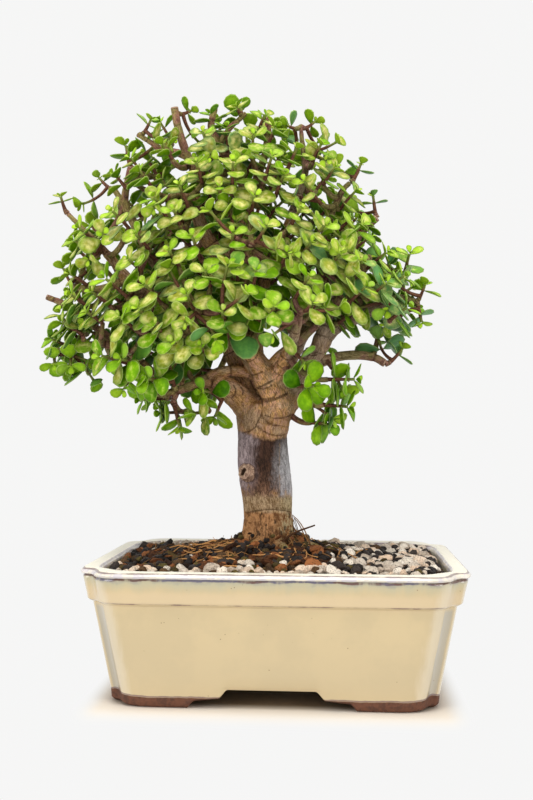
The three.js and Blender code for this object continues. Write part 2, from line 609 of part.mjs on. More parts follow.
function makeWood(paths) {
  const bodies = [trunkBody(0, TRUNK), ...rootBodies(0), makeScar()];
  for (const { points, radii } of limbPaths) {
    const sides = LIMB_SIDES.find(([least]) => radii[0] >= least)[1];
    bodies.push(tube(points, radii, sides));
  }
  for (const { start, bend, base, middle } of paths) {
    const stop = base.clone().addScaledVector(middle.clone().sub(base).normalize(), -TILTED_GAP);
    const points = start.distanceTo(stop) > STRAIGHT_BRANCH ? [start, bend, stop] : [start, stop];
    const radii = points.map((point, i) => BRANCH_RADIUS * (BRANCH_TAPER[0] - BRANCH_TAPER[1] * i));
    bodies.push(tube(points, radii, BRANCH_SIDES));
  }
  return wasm.Manifold.union(bodies);
}

// Value at a place in rows of [place, value, ...], even between the rows
function lookUp(rows, place, column) {
  const after = rows.findIndex((row) => row[0] >= place);
  if (after <= 0) {
    return rows[after === 0 ? 0 : rows.length - 1][column];
  }
  const [low, high] = [rows[after - 1], rows[after]];
  return low[column] + ((high[column] - low[column]) * (place - low[0])) / (high[0] - low[0]);
}

// How far out in the crown a place is, seen from the front: 1 on its surface
function crownReach(place) {
  const reach = (place.y - EYE[1]) / -EYE[1];
  const x = EYE[0] + (place.x - EYE[0]) / reach;
  const z = EYE[2] + (place.z - EYE[2]) / reach;
  if (z < lookUp(CROWN_FLOOR, x, 1) || z > CROWN_EDGES[CROWN_EDGES.length - 1][0]) {
    return OUT_OF_CROWN;
  }
  const [left, right] = [lookUp(CROWN_EDGES, z, 1), lookUp(CROWN_EDGES, z, 2)];
  const half = (right - left) / 2;
  const inward = (place.y - CROWN_MIDDLE_DEPTH) / (half * CROWN_DEPTH_RATIO);
  return Math.hypot((x - (left + right) / 2) / half, inward);
}

// Second tip of every shoot, or null
function forkTips(paths) {
  const tips = paths.map((path) => path.tip);
  const forks = [];
  for (const { base, tip } of paths) {
    const stem = tip.clone().sub(base).normalize();
    const across = vec(0, 0, 1).cross(stem).normalize();
    const up = stem.clone().cross(across);
    let best = { place: null, room: LEAST_ROOM };
    for (let i = 0; i < FORK_SIDES; i += 1) {
      const angle = (2 * Math.PI * i) / FORK_SIDES;
      const place = tip.clone().addScaledVector(stem, -FORK_DROP)
        .addScaledVector(across, FORK_REACH * Math.cos(angle))
        .addScaledVector(up, FORK_REACH * Math.sin(angle));
      const others = tips.filter((other) => other !== tip).map((other) => other.distanceTo(place));
      const room = Math.min(...others, LIMB_ROOM * nearestOnLimbs(place).distance);
      if (room > best.room && crownReach(place) < CROWN_SHARE) {
        best = { place, room };
      }
    }
    forks.push(best.place);
    if (best.place) {
      tips.push(best.place);
    }
  }
  return forks;
}

// Way of the second stem: sideways out of the first one, then along with it
function forkPath({ base, middle, tip }, forkTip) {
  const start = new THREE.QuadraticBezierCurve3(base, middle, tip).getPoint(FORK_PLACE);
  const stem = tip.clone().sub(base).normalize();
  const halfway = start.clone().lerp(forkTip, 0.5).addScaledVector(stem, -FORK_BOW);
  return { base: start, middle: halfway, tip: forkTip };
}

// Square ring round a shoot's stem, its flat sides facing out along the frame and across it
function stemRing(centre, frame, radius) {
  return [-1, 1, 3, 5].map((eighth) => centre.clone()
    .addScaledVector(frame.out, radius * Math.cos((eighth * Math.PI) / 4))
    .addScaledVector(frame.across, radius * Math.sin((eighth * Math.PI) / 4)));
}

// Stem with a pair of rings close together where each leaf pair grows
function leafyStem(path, turn) {
  const curve = new THREE.QuadraticBezierCurve3(path.base, path.middle, path.tip);
  const frameAt = (place) => {
    const stem = curve.getTangent(place);
    const side = vec(0, 0, 1).cross(stem).normalize();
    const up = stem.clone().cross(side);
    const out = side.clone().multiplyScalar(Math.cos(turn)).addScaledVector(up, Math.sin(turn));
    return { stem, out, across: stem.clone().cross(out) };
  };
  const rings = [stemRing(path.base, frameAt(0), SHOOT_RADIUS)];
  const nodes = PAIRS.map(([place, size, spread]) => {
    const centre = curve.getPoint(place);
    const frame = frameAt(place);
    const radius = SHOOT_RADIUS * (1 - SHOOT_TAPER * place);
    for (const side of [-0.5, 0.5]) {
      rings.push(stemRing(centre.clone().addScaledVector(frame.stem, side * LEAF_NECK), frame, radius));
    }
    return { centre, frame, size, spread };
  });
  const end = nodes[nodes.length - 1].centre;
  return { rings, nodes, start: path.base, end, body: neighbour(loft(rings, path.base, end)) };
}

// Outline points of a leaf from its left shoulder round the tip to its right, then its two faces'
// middles: a lens, flatter on top and fuller underneath
function leafPoints(centre, { stem, outward, spread, length, thicken }) {
  const angle = THREE.MathUtils.degToRad(spread);
  const along = stem.clone().multiplyScalar(Math.cos(angle)).addScaledVector(outward, Math.sin(angle));
  const face = stem.clone().multiplyScalar(Math.sin(angle)).addScaledVector(outward, -Math.cos(angle));
  const side = stem.clone().cross(outward);
  const at = (x, y, z) => centre.clone().addScaledVector(along, x * length)
    .addScaledVector(side, y * length).addScaledVector(face, z * thicken);
  const half = LEAF_WIDTH / 2;
  const left = LEAF_RIM.map(([x, share]) => at(x, -half * share, 0));
  const right = LEAF_RIM.map(([x, share]) => at(x, half * share, 0)).reverse();
  const faces = [UPPER_FACE, LOWER_FACE].map(([x, share]) => at(x, 0, share * LEAF_THICKNESS));
  return [...left, at(1, 0, 0), ...right, ...faces];
}

// Triangles of a leaf that grows out of one side of the stem, between its low and its high edge
function leafTriangles(lowLeft, lowRight, highLeft, highRight, first) {
  const rim = [0, 1, 2, 3, 4].map((i) => first + i);
  const top = [highLeft, ...rim, highRight];
  const bottom = [lowLeft, ...rim, lowRight];
  const triangles = [[lowRight, highRight, rim[4]], [highLeft, lowLeft, rim[0]]];
  for (let i = 0; i < top.length; i += 1) {
    const next = (i + 1) % top.length;
    triangles.push([first + 5, top[i], top[next]], [first + 6, bottom[next], bottom[i]]);
  }
  return triangles;
}

// The leaf alone, a little larger than it is, to try whether it is clear of its neighbours
function leafTrial(centre, leaf) {
  const { stem, outward } = leaf;
  const side = stem.clone().cross(outward);
  const start = centre.clone().addScaledVector(outward, SHOOT_RADIUS + GAP);
  const corner = (left, up) => start.clone().addScaledVector(side, left).addScaledVector(stem, up);
  const [wide, high] = TRIAL_BASE;
  const base = [corner(-wide, -high), corner(wide, -high), corner(-wide, high), corner(wide, high)];
  const larger = { ...leaf, length: leaf.length * LEAF_MARGIN, thicken: TRIAL_THICKNESS };
  const points = [...base, ...leafPoints(centre, larger)];
  return solidFrom(meshed(points, [...leafTriangles(0, 1, 2, 3, 4), [0, 3, 1], [0, 2, 3]]));
}

function boxesMeet(a, b) {
  return [0, 1, 2].every((axis) => a.min[axis] <= b.max[axis] && b.min[axis] <= a.max[axis]);
}

function neighbour(solid) {
  return { solid, bounds: solid.boundingBox() };
}

function isClear(trial, others) {
  return others.every((other) => !boxesMeet(trial.bounds, other.bounds)
    || trial.solid.intersect(other.solid).volume() < LEAST_OVERLAP);
}

// Stem with opposite pairs of leaves, each pair a quarter turn from the last, drawn out of its flat
// sides. A leaf that would cross a neighbour is tilted until it is clear, and left off if it can't be.
function leavedStem(stem, roll, others, siblings) {
  const points = [stem.start, ...stem.rings.flat(), stem.end];
  const triangles = [];
  const ringStart = (ring) => 1 + 4 * ring;
  const lastRing = ringStart(stem.rings.length - 1);
  const endPoint = points.length - 1;
  const shortness = Math.max(stem.start.distanceTo(stem.end) / FULL_LEAF_SHOOT, LEAST_LEAF_SIZE);
  const climb = THREE.MathUtils.clamp((stem.end.z - SMALLER_FROM) / (SMALLEST_FROM - SMALLER_FROM), 0, 1);
  const scale = Math.min(shortness, 1) * between(SHOOT_VARIETY, roll()) * (1 - (1 - TOP_LEAF_SIZE) * climb);
  for (let side = 0; side < 4; side += 1) {
    const next = (side + 1) % 4;
    triangles.push([0, 1 + next, 1 + side], [endPoint, lastRing + side, lastRing + next]);
    for (let ring = 1; ring < stem.rings.length; ring += 1) {
      const low = ringStart(ring - 1);
      const high = ringStart(ring);
      const pair = (ring - 2) / 2;
      const bearsLeaf = Number.isInteger(pair) && pair >= 0 && side % 2 === pair % 2;
      const leaf = bearsLeaf && fittingLeaf(stem.nodes[pair], side, scale, roll, [...others, ...siblings]);
      if (leaf) {
        siblings.push(neighbour(leafTrial(stem.nodes[pair].centre, leaf)));
        const first = points.length;
        points.push(...leafPoints(stem.nodes[pair].centre, leaf));
        triangles.push(...leafTriangles(low + side, low + next, high + side, high + next, first));
      } else {
        triangles.push([low + side, low + next, high + next], [low + side, high + next, high + side]);
      }
    }
  }
  return solidFrom(meshed(points, triangles));
}

// Leafy shoot: its first stem and, where there is room for it, its second, fused at the fork
function makeShoot(stems, roll, others) {
  const [first, second] = stems;
  const siblings = [];
  const othersOfFirst = second ? [...others, second.body] : others;
  const bodies = [leavedStem(first, roll, othersOfFirst, siblings)];
  if (second) {
    bodies.push(leavedStem(second, roll, [...others, first.body], siblings));
  }
  return wasm.Manifold.union(bodies);
}

// Leaf for one side of a stem, at the first tilt that keeps it clear
function fittingLeaf({ centre, frame, size, spread }, side, scale, roll, others) {
  const outward = (side % 2 === 0 ? frame.out : frame.across).clone().multiplyScalar(side < 2 ? 1 : -1);
  const length = LEAF_LENGTH * size * scale * between(LEAF_VARIETY, roll());
  const opening = spread + SPREAD_VARIETY * (roll() - 0.5);
  const { stem } = frame;
  const leaves = LEAF_TILTS.map((tilt) => ({ stem, outward, spread: opening + tilt, length, thicken: 1 }));
  return leaves.find((leaf) => isClear(neighbour(leafTrial(centre, leaf)), others));
}

function material([colour, roughness]) {
  return new THREE.MeshStandardMaterial({ color: colour, roughness, metalness: 0 });
}

const bonsai = new THREE.Group();

function place(name, geometry, finish) {
  const mesh = new THREE.Mesh(geometry, material(FINISHES[finish]));
  mesh.name = name;
  bonsai.add(mesh);
}

const paths = TIPS.map(([x, z, depth]) => shootPath(seen(x, z, depth)));
const wood = makeWood(paths);
const draws = paths.map((path, i) => dice(FIRST_SEED + i));
const settled = [neighbour(wood)];
const shoots = paths.map((path, i) => [leafyStem(path, 2 * Math.PI * draws[i]())]);
forkTips(paths).forEach((forkTip, i) => {
  if (!forkTip) {
    return;
  }
  const fork = leafyStem(forkPath(paths[i], forkTip), 2 * Math.PI * draws[i]());
  const others = shoots.filter((shoot, j) => j !== i).flat().map((stem) => stem.body);
  if (isClear(fork.body, [...settled, ...others])) {
    shoots[i].push(fork);
  }
});

place('pot', geometryFrom(makePot()), 'glaze');
place('drain_screen_left', geometryFrom(makeScreen(-DRAIN_X)), 'mesh');
place('drain_screen_right', geometryFrom(makeScreen(DRAIN_X)), 'mesh');
place('soil', geometryFrom(makeSoil()), 'soil');
place('trunk_and_limbs', geometryFrom(wood), 'bark');
shoots.forEach((stems, i) => {
  const otherStems = shoots.slice(i + 1).flat().map((stem) => stem.body);
  const shoot = makeShoot(stems, draws[i], [...settled, ...otherStems]);
  settled.push(neighbour(shoot));
  place(`shoot_${String(i + 1).padStart(2, '0')}`, geometryFrom(shoot), 'leaf');
});

// The part's origin is the middle of its footprint, on the surface that it stands on
const bounds = new THREE.Box3().setFromObject(bonsai);
const middle = bounds.getCenter(vec(0, 0, 0));
bonsai.position.set(-middle.x, -middle.y, -bounds.min.z);

export default bonsai;
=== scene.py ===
# Dwarf jade bonsai in a notched, glazed rectangular pot: its fine shapes and its finishes.
import math

import bpy
import numpy as np
from mathutils import Matrix, Vector, noise


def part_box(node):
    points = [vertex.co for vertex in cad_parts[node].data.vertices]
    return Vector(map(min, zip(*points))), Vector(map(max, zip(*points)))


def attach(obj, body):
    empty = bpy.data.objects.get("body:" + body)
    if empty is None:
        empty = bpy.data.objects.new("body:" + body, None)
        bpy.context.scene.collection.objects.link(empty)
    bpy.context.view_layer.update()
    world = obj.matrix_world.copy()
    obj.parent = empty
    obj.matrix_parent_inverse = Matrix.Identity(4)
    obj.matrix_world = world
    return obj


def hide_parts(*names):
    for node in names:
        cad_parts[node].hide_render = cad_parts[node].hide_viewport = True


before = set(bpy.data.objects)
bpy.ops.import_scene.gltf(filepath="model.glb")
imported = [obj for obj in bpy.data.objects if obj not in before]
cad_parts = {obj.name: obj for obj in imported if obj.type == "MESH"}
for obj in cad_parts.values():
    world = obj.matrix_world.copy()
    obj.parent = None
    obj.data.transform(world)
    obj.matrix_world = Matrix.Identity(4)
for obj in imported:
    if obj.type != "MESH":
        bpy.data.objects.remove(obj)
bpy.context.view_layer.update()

# Shapes are worked out in millimetres from the middle of the pot's foot, x to the right and y away
# from the front, and put into the frame's metres when a piece is made.
MM = 0.001
pot_low, pot_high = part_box("pot")
POT_MIDDLE = np.array([(pot_low.x + pot_high.x) / 2, (pot_low.y + pot_high.y) / 2, pot_low.z])

# Camera, as the photograph was taken
CAMERA_PLACE = (32.18, -569.37, 144.45)
CAMERA_TURN = -4.017
CAMERA_TILT = 1.55
CAMERA_ROLL = 0.185
IMAGE_LONG_SIDE = 800
FOCAL_PIXELS = 979.1
SENSOR = 36

# Studio: the backdrop's white, how bright the room is where it lights the object, and how much of the
# backdrop's white shows in reflections
BACKDROP = (0.922, 0.922, 0.918)
ROOM_LIGHT = 0.5
MIRRORED_BACKDROP = 0.85
# Softboxes: place, size, power and colour. All of them face the object's middle.
SOFTBOXES = {
    "left_softbox": ((-1.0, -0.95, 0.6), (0.6, 0.8), 8.0, (1.0, 0.98, 0.95)),
    "right_softbox": ((1.0, -0.95, 0.6), (0.6, 0.8), 7.0, (1.0, 0.98, 0.95)),
    "top_softbox": ((0.0, -0.35, 1.35), (0.6, 0.6), 8.5, (1, 1, 1)),
}
OBJECT_MIDDLE = (0.0, 0.0, 0.18)
# Floor, in metres: the pot's half width and depth on it, those of the painted shadow under the pot, and
# how far the floor's own colour reaches. It reaches less far to the sides.
POT_ON_FLOOR = (0.087, 0.068)
PAINTED_SHADOW_UNDER_POT = (0.075, 0.054)
FLOOR_COLOUR_REACH = 0.032
SIDEWAYS_STRETCH = 2.2
FLOOR_SIZE = 12

# Pot
FLOOR_TOP = 16
RECESS_CEILING = 9.9
FOOT_WALL = 12
FOOT_BLEND = 12
DRAIN_RADIUS = 9
DRAIN_X = 45
SCREEN_SIDE = 34
SCREEN_THICKNESS = 1.2
SCREEN_WIRES = 11
GAP = 0.3
CLAY_TOP = 5.2

# Outline of the pot at each height: [z, half width, half depth, corner x, corner y, notch, rounding].
# A notch of 1 is a full step in the corner, and 0.5 is a straight cut across it.
POT_OUTSIDE = np.array([
    [0, 85, 66.5, 10.5, 11.5, 0.95, 4],
    [1.6, 86.6, 68.1, 10.5, 11.5, 0.95, 4.5],
    [5.5, 87, 68.5, 10.5, 12, 0.95, 4.5],
    [52.6, 95.8, 74.2, 11.5, 13.5, 0.78, 6],
    [54.4, 98.5, 76.4, 12.5, 14.5, 0.8, 5.5],
    [66.8, 101.6, 77.9, 13, 16, 0.95, 4.5],
    [68.3, 102.5, 78.5, 13.5, 17, 1, 3.5],
    [70, 101.2, 77.2, 13.5, 17, 1, 3.5],
])
CAVITY = np.array([
    [16, 80, 60, 18, 15, 0.55, 5],
    [70, 93, 68.2, 19, 15, 0.55, 5],
])
# Levels of the outer wall: [z, how far it stands proud, how thin the glaze is, how much it pools]
PLAIN_LEVELS = [0, 1.6, 3.5, 5.5, 8, 12, 18, 25, 32, 39, 45, 49.5, 51.8, 56, 59, 62.5]
OUTER_LEVELS = sorted([[z, 0, 0, 0] for z in PLAIN_LEVELS] + [
    [0.5, 0.1, 0, 0], [52.6, -0.1, 0, 0], [53.2, -0.1, 0.3, 0], [53.7, 0.1, 0.65, 0], [54.1, 0.1, 0.8, 0],
    [54.6, 0.05, 0.3, 0], [55.2, 0.05, 0, 0], [64, 0, 0, 0.2], [65, 0, 0, 1], [65.9, -0.1, 0, 1],
    [66.5, -0.5, 0.1, 1], [66.9, -0.4, 0.1, 1], [67.4, 0.25, 0, 1], [68.3, 0.15, 0, 0.2], [69, 0.1, 0.4, 0],
    [69.5, -0.05, 1, 0], [69.85, -0.25, 0.9, 0],
])
# Levels of the rim's top and inner wall: [z, half width, half depth, thinness, pooling]
INNER_LEVELS = [
    [70.1, 100.3, 76.3, 0.2, 0], [70.2, 99, 75, 0, 0], [70.1, 96.2, 71.9, 0, 0], [69.9, 94.7, 70.1, 0.2, 0],
    [69.4, 93.7, 69, 1, 0], [68.7, 93.2, 68.5, 0.7, 0], [67.6, 92.6, 67.9, 0, 0], [65, 91.8, 67.3, 0, 0],
    [58, 90.2, 65.8, 0, 0], [40, 85.8, 63.6, 0, 0], [24, 82, 61.2, 0, 0], [16, 80, 60, 0, 0],
]
# Half widths between which the rim's corners turn into those of the inner wall
RIM_OUTSIDE = 100.3
RIM_INSIDE = 93.2
FOOT_CHAMFER = 0.7
# Heights where the glaze changes: the paler stretch low on the band, the grey-green one above it, the
# line that pools under the bead, the bead and the top of the rim, whose near white is partly its pale glaze
# and partly painted light
PALE_STRETCH = 56.5
GREEN_STRETCH = (59.5, 66)
POOL_HEIGHT = 66.5
BEAD = (66.9, 67.5)
RIM_TOP = (69.5, 69.9)
# Openings between the feet: [distance from the middle, height]
FRONT_OPENING = np.array([
    [0, 9.6], [22.5, 9.6], [23.5, 9.1], [25, 7.2], [26.5, 5.3], [27.5, 4.8], [39.6, 3.6], [40.4, 3.3],
    [41.8, 2], [42.9, 0.6], [43.5, 0], [100, 0],
])
SIDE_OPENING = np.array([
    [0, 9.6], [15.5, 9.6], [16.4, 9], [17.5, 7.2], [18.6, 5.4], [19.5, 4.8], [26.1, 3.8], [26.9, 3.5],
    [28.3, 2.1], [29.4, 0.6], [30, 0], [100, 0],
])
FRONT_COLUMNS = [
    0, 7, 14, 19, 22, 22.5, 23.5, 24.2, 25, 25.8, 26.5, 27.5, 32, 37, 39.6, 40.4, 41.1, 41.8, 42.4, 42.9,
    43.5, 44.3, 49, 56,
]
SIDE_COLUMNS = [
    0, 6, 12, 15, 15.5, 16.4, 17, 17.5, 18, 18.6, 19.5, 22, 25, 26.1, 26.9, 27.6, 28.3, 28.9, 29.4, 30,
    30.8, 35, 40,
]
CORNER_POINTS = 10
CORNER_SOFTNESS = 3
# How much of a notch's width its set-back wall takes, the rest being the slant to the front
NOTCH_SLANT = 0.62
# Length of face that a corner may bend at most, on either side of the notch
CORNER_FADE = 15

# Soil
SOIL_EDGE_HEIGHT = 67.5
MOUND_HEIGHT = 11
MOUND_MIDDLE = -6
MOUND_SPREAD = (36, 27)
SOIL_RINGS = 58
SOIL_BOTTOM = 17.8
SOIL_GAP = 0.9
# Lumps stand in rows over this half width and depth of the soil, and more are heaped round the trunk
LUMP_FIELD = (90, 64)
LUMP_PITCH = 4.6
LUMP_ROW_PITCH = 4.002
LUMP_SCATTER = 0.4
HEAPED_LUMPS = 130
HEAP_WIDTH = 17
HEAPED_SIZES = (1.2, 2.6)
# Kinds of lump. Shapes: how many, their seed and their flatness. Sizes: least and most radius. Finish: its
# name, dark and light colour, roughness, width of its pores and, for some, a warmer colour.
LUMPS = {
    "pumice": {
        "shapes": (9, 11, 0.72), "sizes": (2.5, 5.4),
        "finish": ("pumice", (0.45, 0.36, 0.28), (0.87, 0.78, 0.66), 0.8, 0.9, (0.80, 0.58, 0.41)),
    },
    "lava": {
        "shapes": (9, 12, 0.85), "sizes": (1.9, 4.3),
        "finish": ("black_lava", (0.009, 0.006, 0.005), (0.042, 0.031, 0.026), 0.6, 0.8),
    },
    "clod": {
        "shapes": (7, 13, 0.7), "sizes": (1.8, 4.2),
        "finish": ("baked_clay_lump", (0.018, 0.010, 0.006), (0.12, 0.065, 0.03), 0.9, 1.0,
                   (0.12, 0.09, 0.025)),
    },
    "bark_chip": {
        "shapes": (7, 14, 0.28), "sizes": (2.4, 6.6),
        "finish": ("bark_chip", (0.03, 0.012, 0.006), (0.34, 0.125, 0.042), 0.85, 1.2),
    },
}
HEAPED_KINDS = ("lava", "lava", "clod", "bark_chip")
# Fibres on the soil: how many, the half width and depth they keep to, their lengths and their radii
FIBRE_COUNT = 170
FIBRE_FIELD = (82, 58)
FIBRE_LENGTHS = (10, 32)
FIBRE_RADII = (0.25, 0.75)
FIBRE_POINTS = 6
# Rootlets beside the trunk: how many, and how far out from its middle
ROOTLET_COUNT = 34
ROOTLET_REACH = (14.8, 17)
# A twig that sticks out of the soil beside the trunk
TWIG = [[2, -15, 79], [9, -17, 84.5], [21, -16, 89]]

# Trunk: [x of the middle, z, radius], from the root ball to the crown of the trunk
TRUNK = [
    [-6, 46, 11], [-6, 62, 14], [-6, 74, 15.8], [-6.2, 80, 15], [-6.3, 86, 14.5], [-6.5, 93, 14.2],
    [-6.8, 101, 14.4], [-7.6, 110, 15], [-8.6, 120, 15.2], [-9.3, 130, 14.8], [-10, 141, 14.5],
    [-9.6, 151, 15.4], [-8.5, 158, 13.5],
]
TRUNK_LINE = np.array([[x, 0, z, radius] for x, z, radius in TRUNK])
FOOT_X, _, FOOT_RADIUS = TRUNK[3]
ROOTLET_X = TRUNK[4][0]
TRUNK_DEPTH_RATIO = 0.94
TRUNK_SIDES = 48
FLUTE = 0.045
ROOT_FLUTE = 0.11
ROOT_FLUTE_TOP = 88
# Surface roots: [direction in degrees, reach from the trunk's middle, root radius]
ROOTS = [[-8, 33, 3], [38, 29, 2.6], [-62, 30, 2.8], [-118, 28, 2.6], [172, 30, 2.8], [118, 28, 2.4]]
SCAR_CENTRE = np.array([-19.1, -11.7, 118])
SCAR_FACING = np.array([-0.62, -0.78, 0.02])
SCAR_RADIUS = 4.6
SCAR_SPREAD = (1.05, 0.72)
SCAR_HOLE = (-0.9, 1.7)
# Folds between the blocks of the trunk's crown, sunk and painted dark as painted shade, as [x, z] seen from
# the front
FOLDS = [
    [[-13.6, 144.7], [-9.8, 141.7], [-5.5, 139.6], [-0.3, 139], [3.9, 139.6], [8, 141]],
    [[-10.2, 151.5], [-9.6, 149.4], [-7.2, 146.8], [-3.8, 145.1], [0.1, 144.7]],
    [[-8.9, 151.1], [-4.6, 149.7], [0.1, 149.3], [4.8, 149.9], [8, 151]],
    [[-12.4, 160.5], [-9.8, 160.1], [-6.4, 160.5], [-3.4, 161.8], [-1.9, 164.4]],
    [[-13.7, 166.5], [-9.8, 166.3], [-6.8, 167.2], [-4.7, 168.7]],
    [[-19.5, 174.4], [-16.7, 174.1], [-13.3, 175.1], [-10.3, 176.6]],
    [[-17.2, 171.7], [-14.8, 166.9], [-12.4, 161.8], [-10.2, 157.1], [-10, 154.1], [-11.9, 149.4],
     [-14.1, 145.1]],
    [[-20, 94], [-17.3, 94.5], [-12.2, 95.5], [-5.3, 96.1], [1.5, 95.9], [5.8, 95.1], [9, 94.5]],
    [[-31.4, 170.4], [-30.3, 167.8], [-30.6, 164.8], [-33, 161.8]],
    [[-26.9, 169.1], [-25.7, 166.5], [-26.2, 163.5], [-28.3, 160.7]],
    [[-22.3, 167.8], [-21, 165.6], [-21.7, 163.1]],
    [[14.9, 187.5], [18.3, 186], [21.8, 186]],
    [[-21.8, 140.8], [-18.3, 141.7], [-14.1, 144.3]],
]
FOLD_DEPTH = 0.9
FOLD_WIDTH = 0.6
# How far the fused wood is drawn in, which makes up for the width that fusing adds
BARK_SHRINK = 0.4
# Heights between which the trunk's bark changes: the foot and top of its dark shaft, the middle of the pale
# band below that, and the top of the rusty foot
SHAFT_FOOT = (101, 109)
SHAFT_TOP = (138, 135)
PALE_BAND = 100
RUST_TOP = (96, 94.5)
# Thin tan lines up the dark bark: [x, lowest z, highest z]
VEINS = [[0.4, 106, 134], [-17.6, 103, 111]]
# Shades of bark, each from its dark threads to its light ones
BARK_SHADES = {
    "brown": ((0.24, 0.115, 0.04), (0.68, 0.395, 0.16)),
    "rosy": ((0.22, 0.095, 0.05), (0.60, 0.34, 0.21)),
    "grey": ((0.20, 0.125, 0.07), (0.58, 0.41, 0.26)),
    "shaded": ((0.13, 0.10, 0.08), (0.36, 0.30, 0.235)),
    "purple": ((0.17, 0.125, 0.13), (0.47, 0.37, 0.375)),
    "slate": ((0.20, 0.19, 0.195), (0.50, 0.49, 0.505)),
    "core": ((0.013, 0.006, 0.004), (0.055, 0.023, 0.015)),
    "dull": ((0.045, 0.022, 0.013), (0.22, 0.11, 0.065)),
    "moss": ((0.14, 0.115, 0.045), (0.52, 0.46, 0.27)),
    "pale": ((0.15, 0.085, 0.035), (0.52, 0.37, 0.215)),
    "rust": ((0.13, 0.05, 0.017), (0.50, 0.25, 0.10)),
    "purple_twig": ((0.15, 0.055, 0.05), (0.34, 0.16, 0.12)),
    "olive_twig": ((0.13, 0.11, 0.03), (0.34, 0.29, 0.09)),
    "tan": ((0.20, 0.115, 0.075), (0.56, 0.37, 0.26)),
}

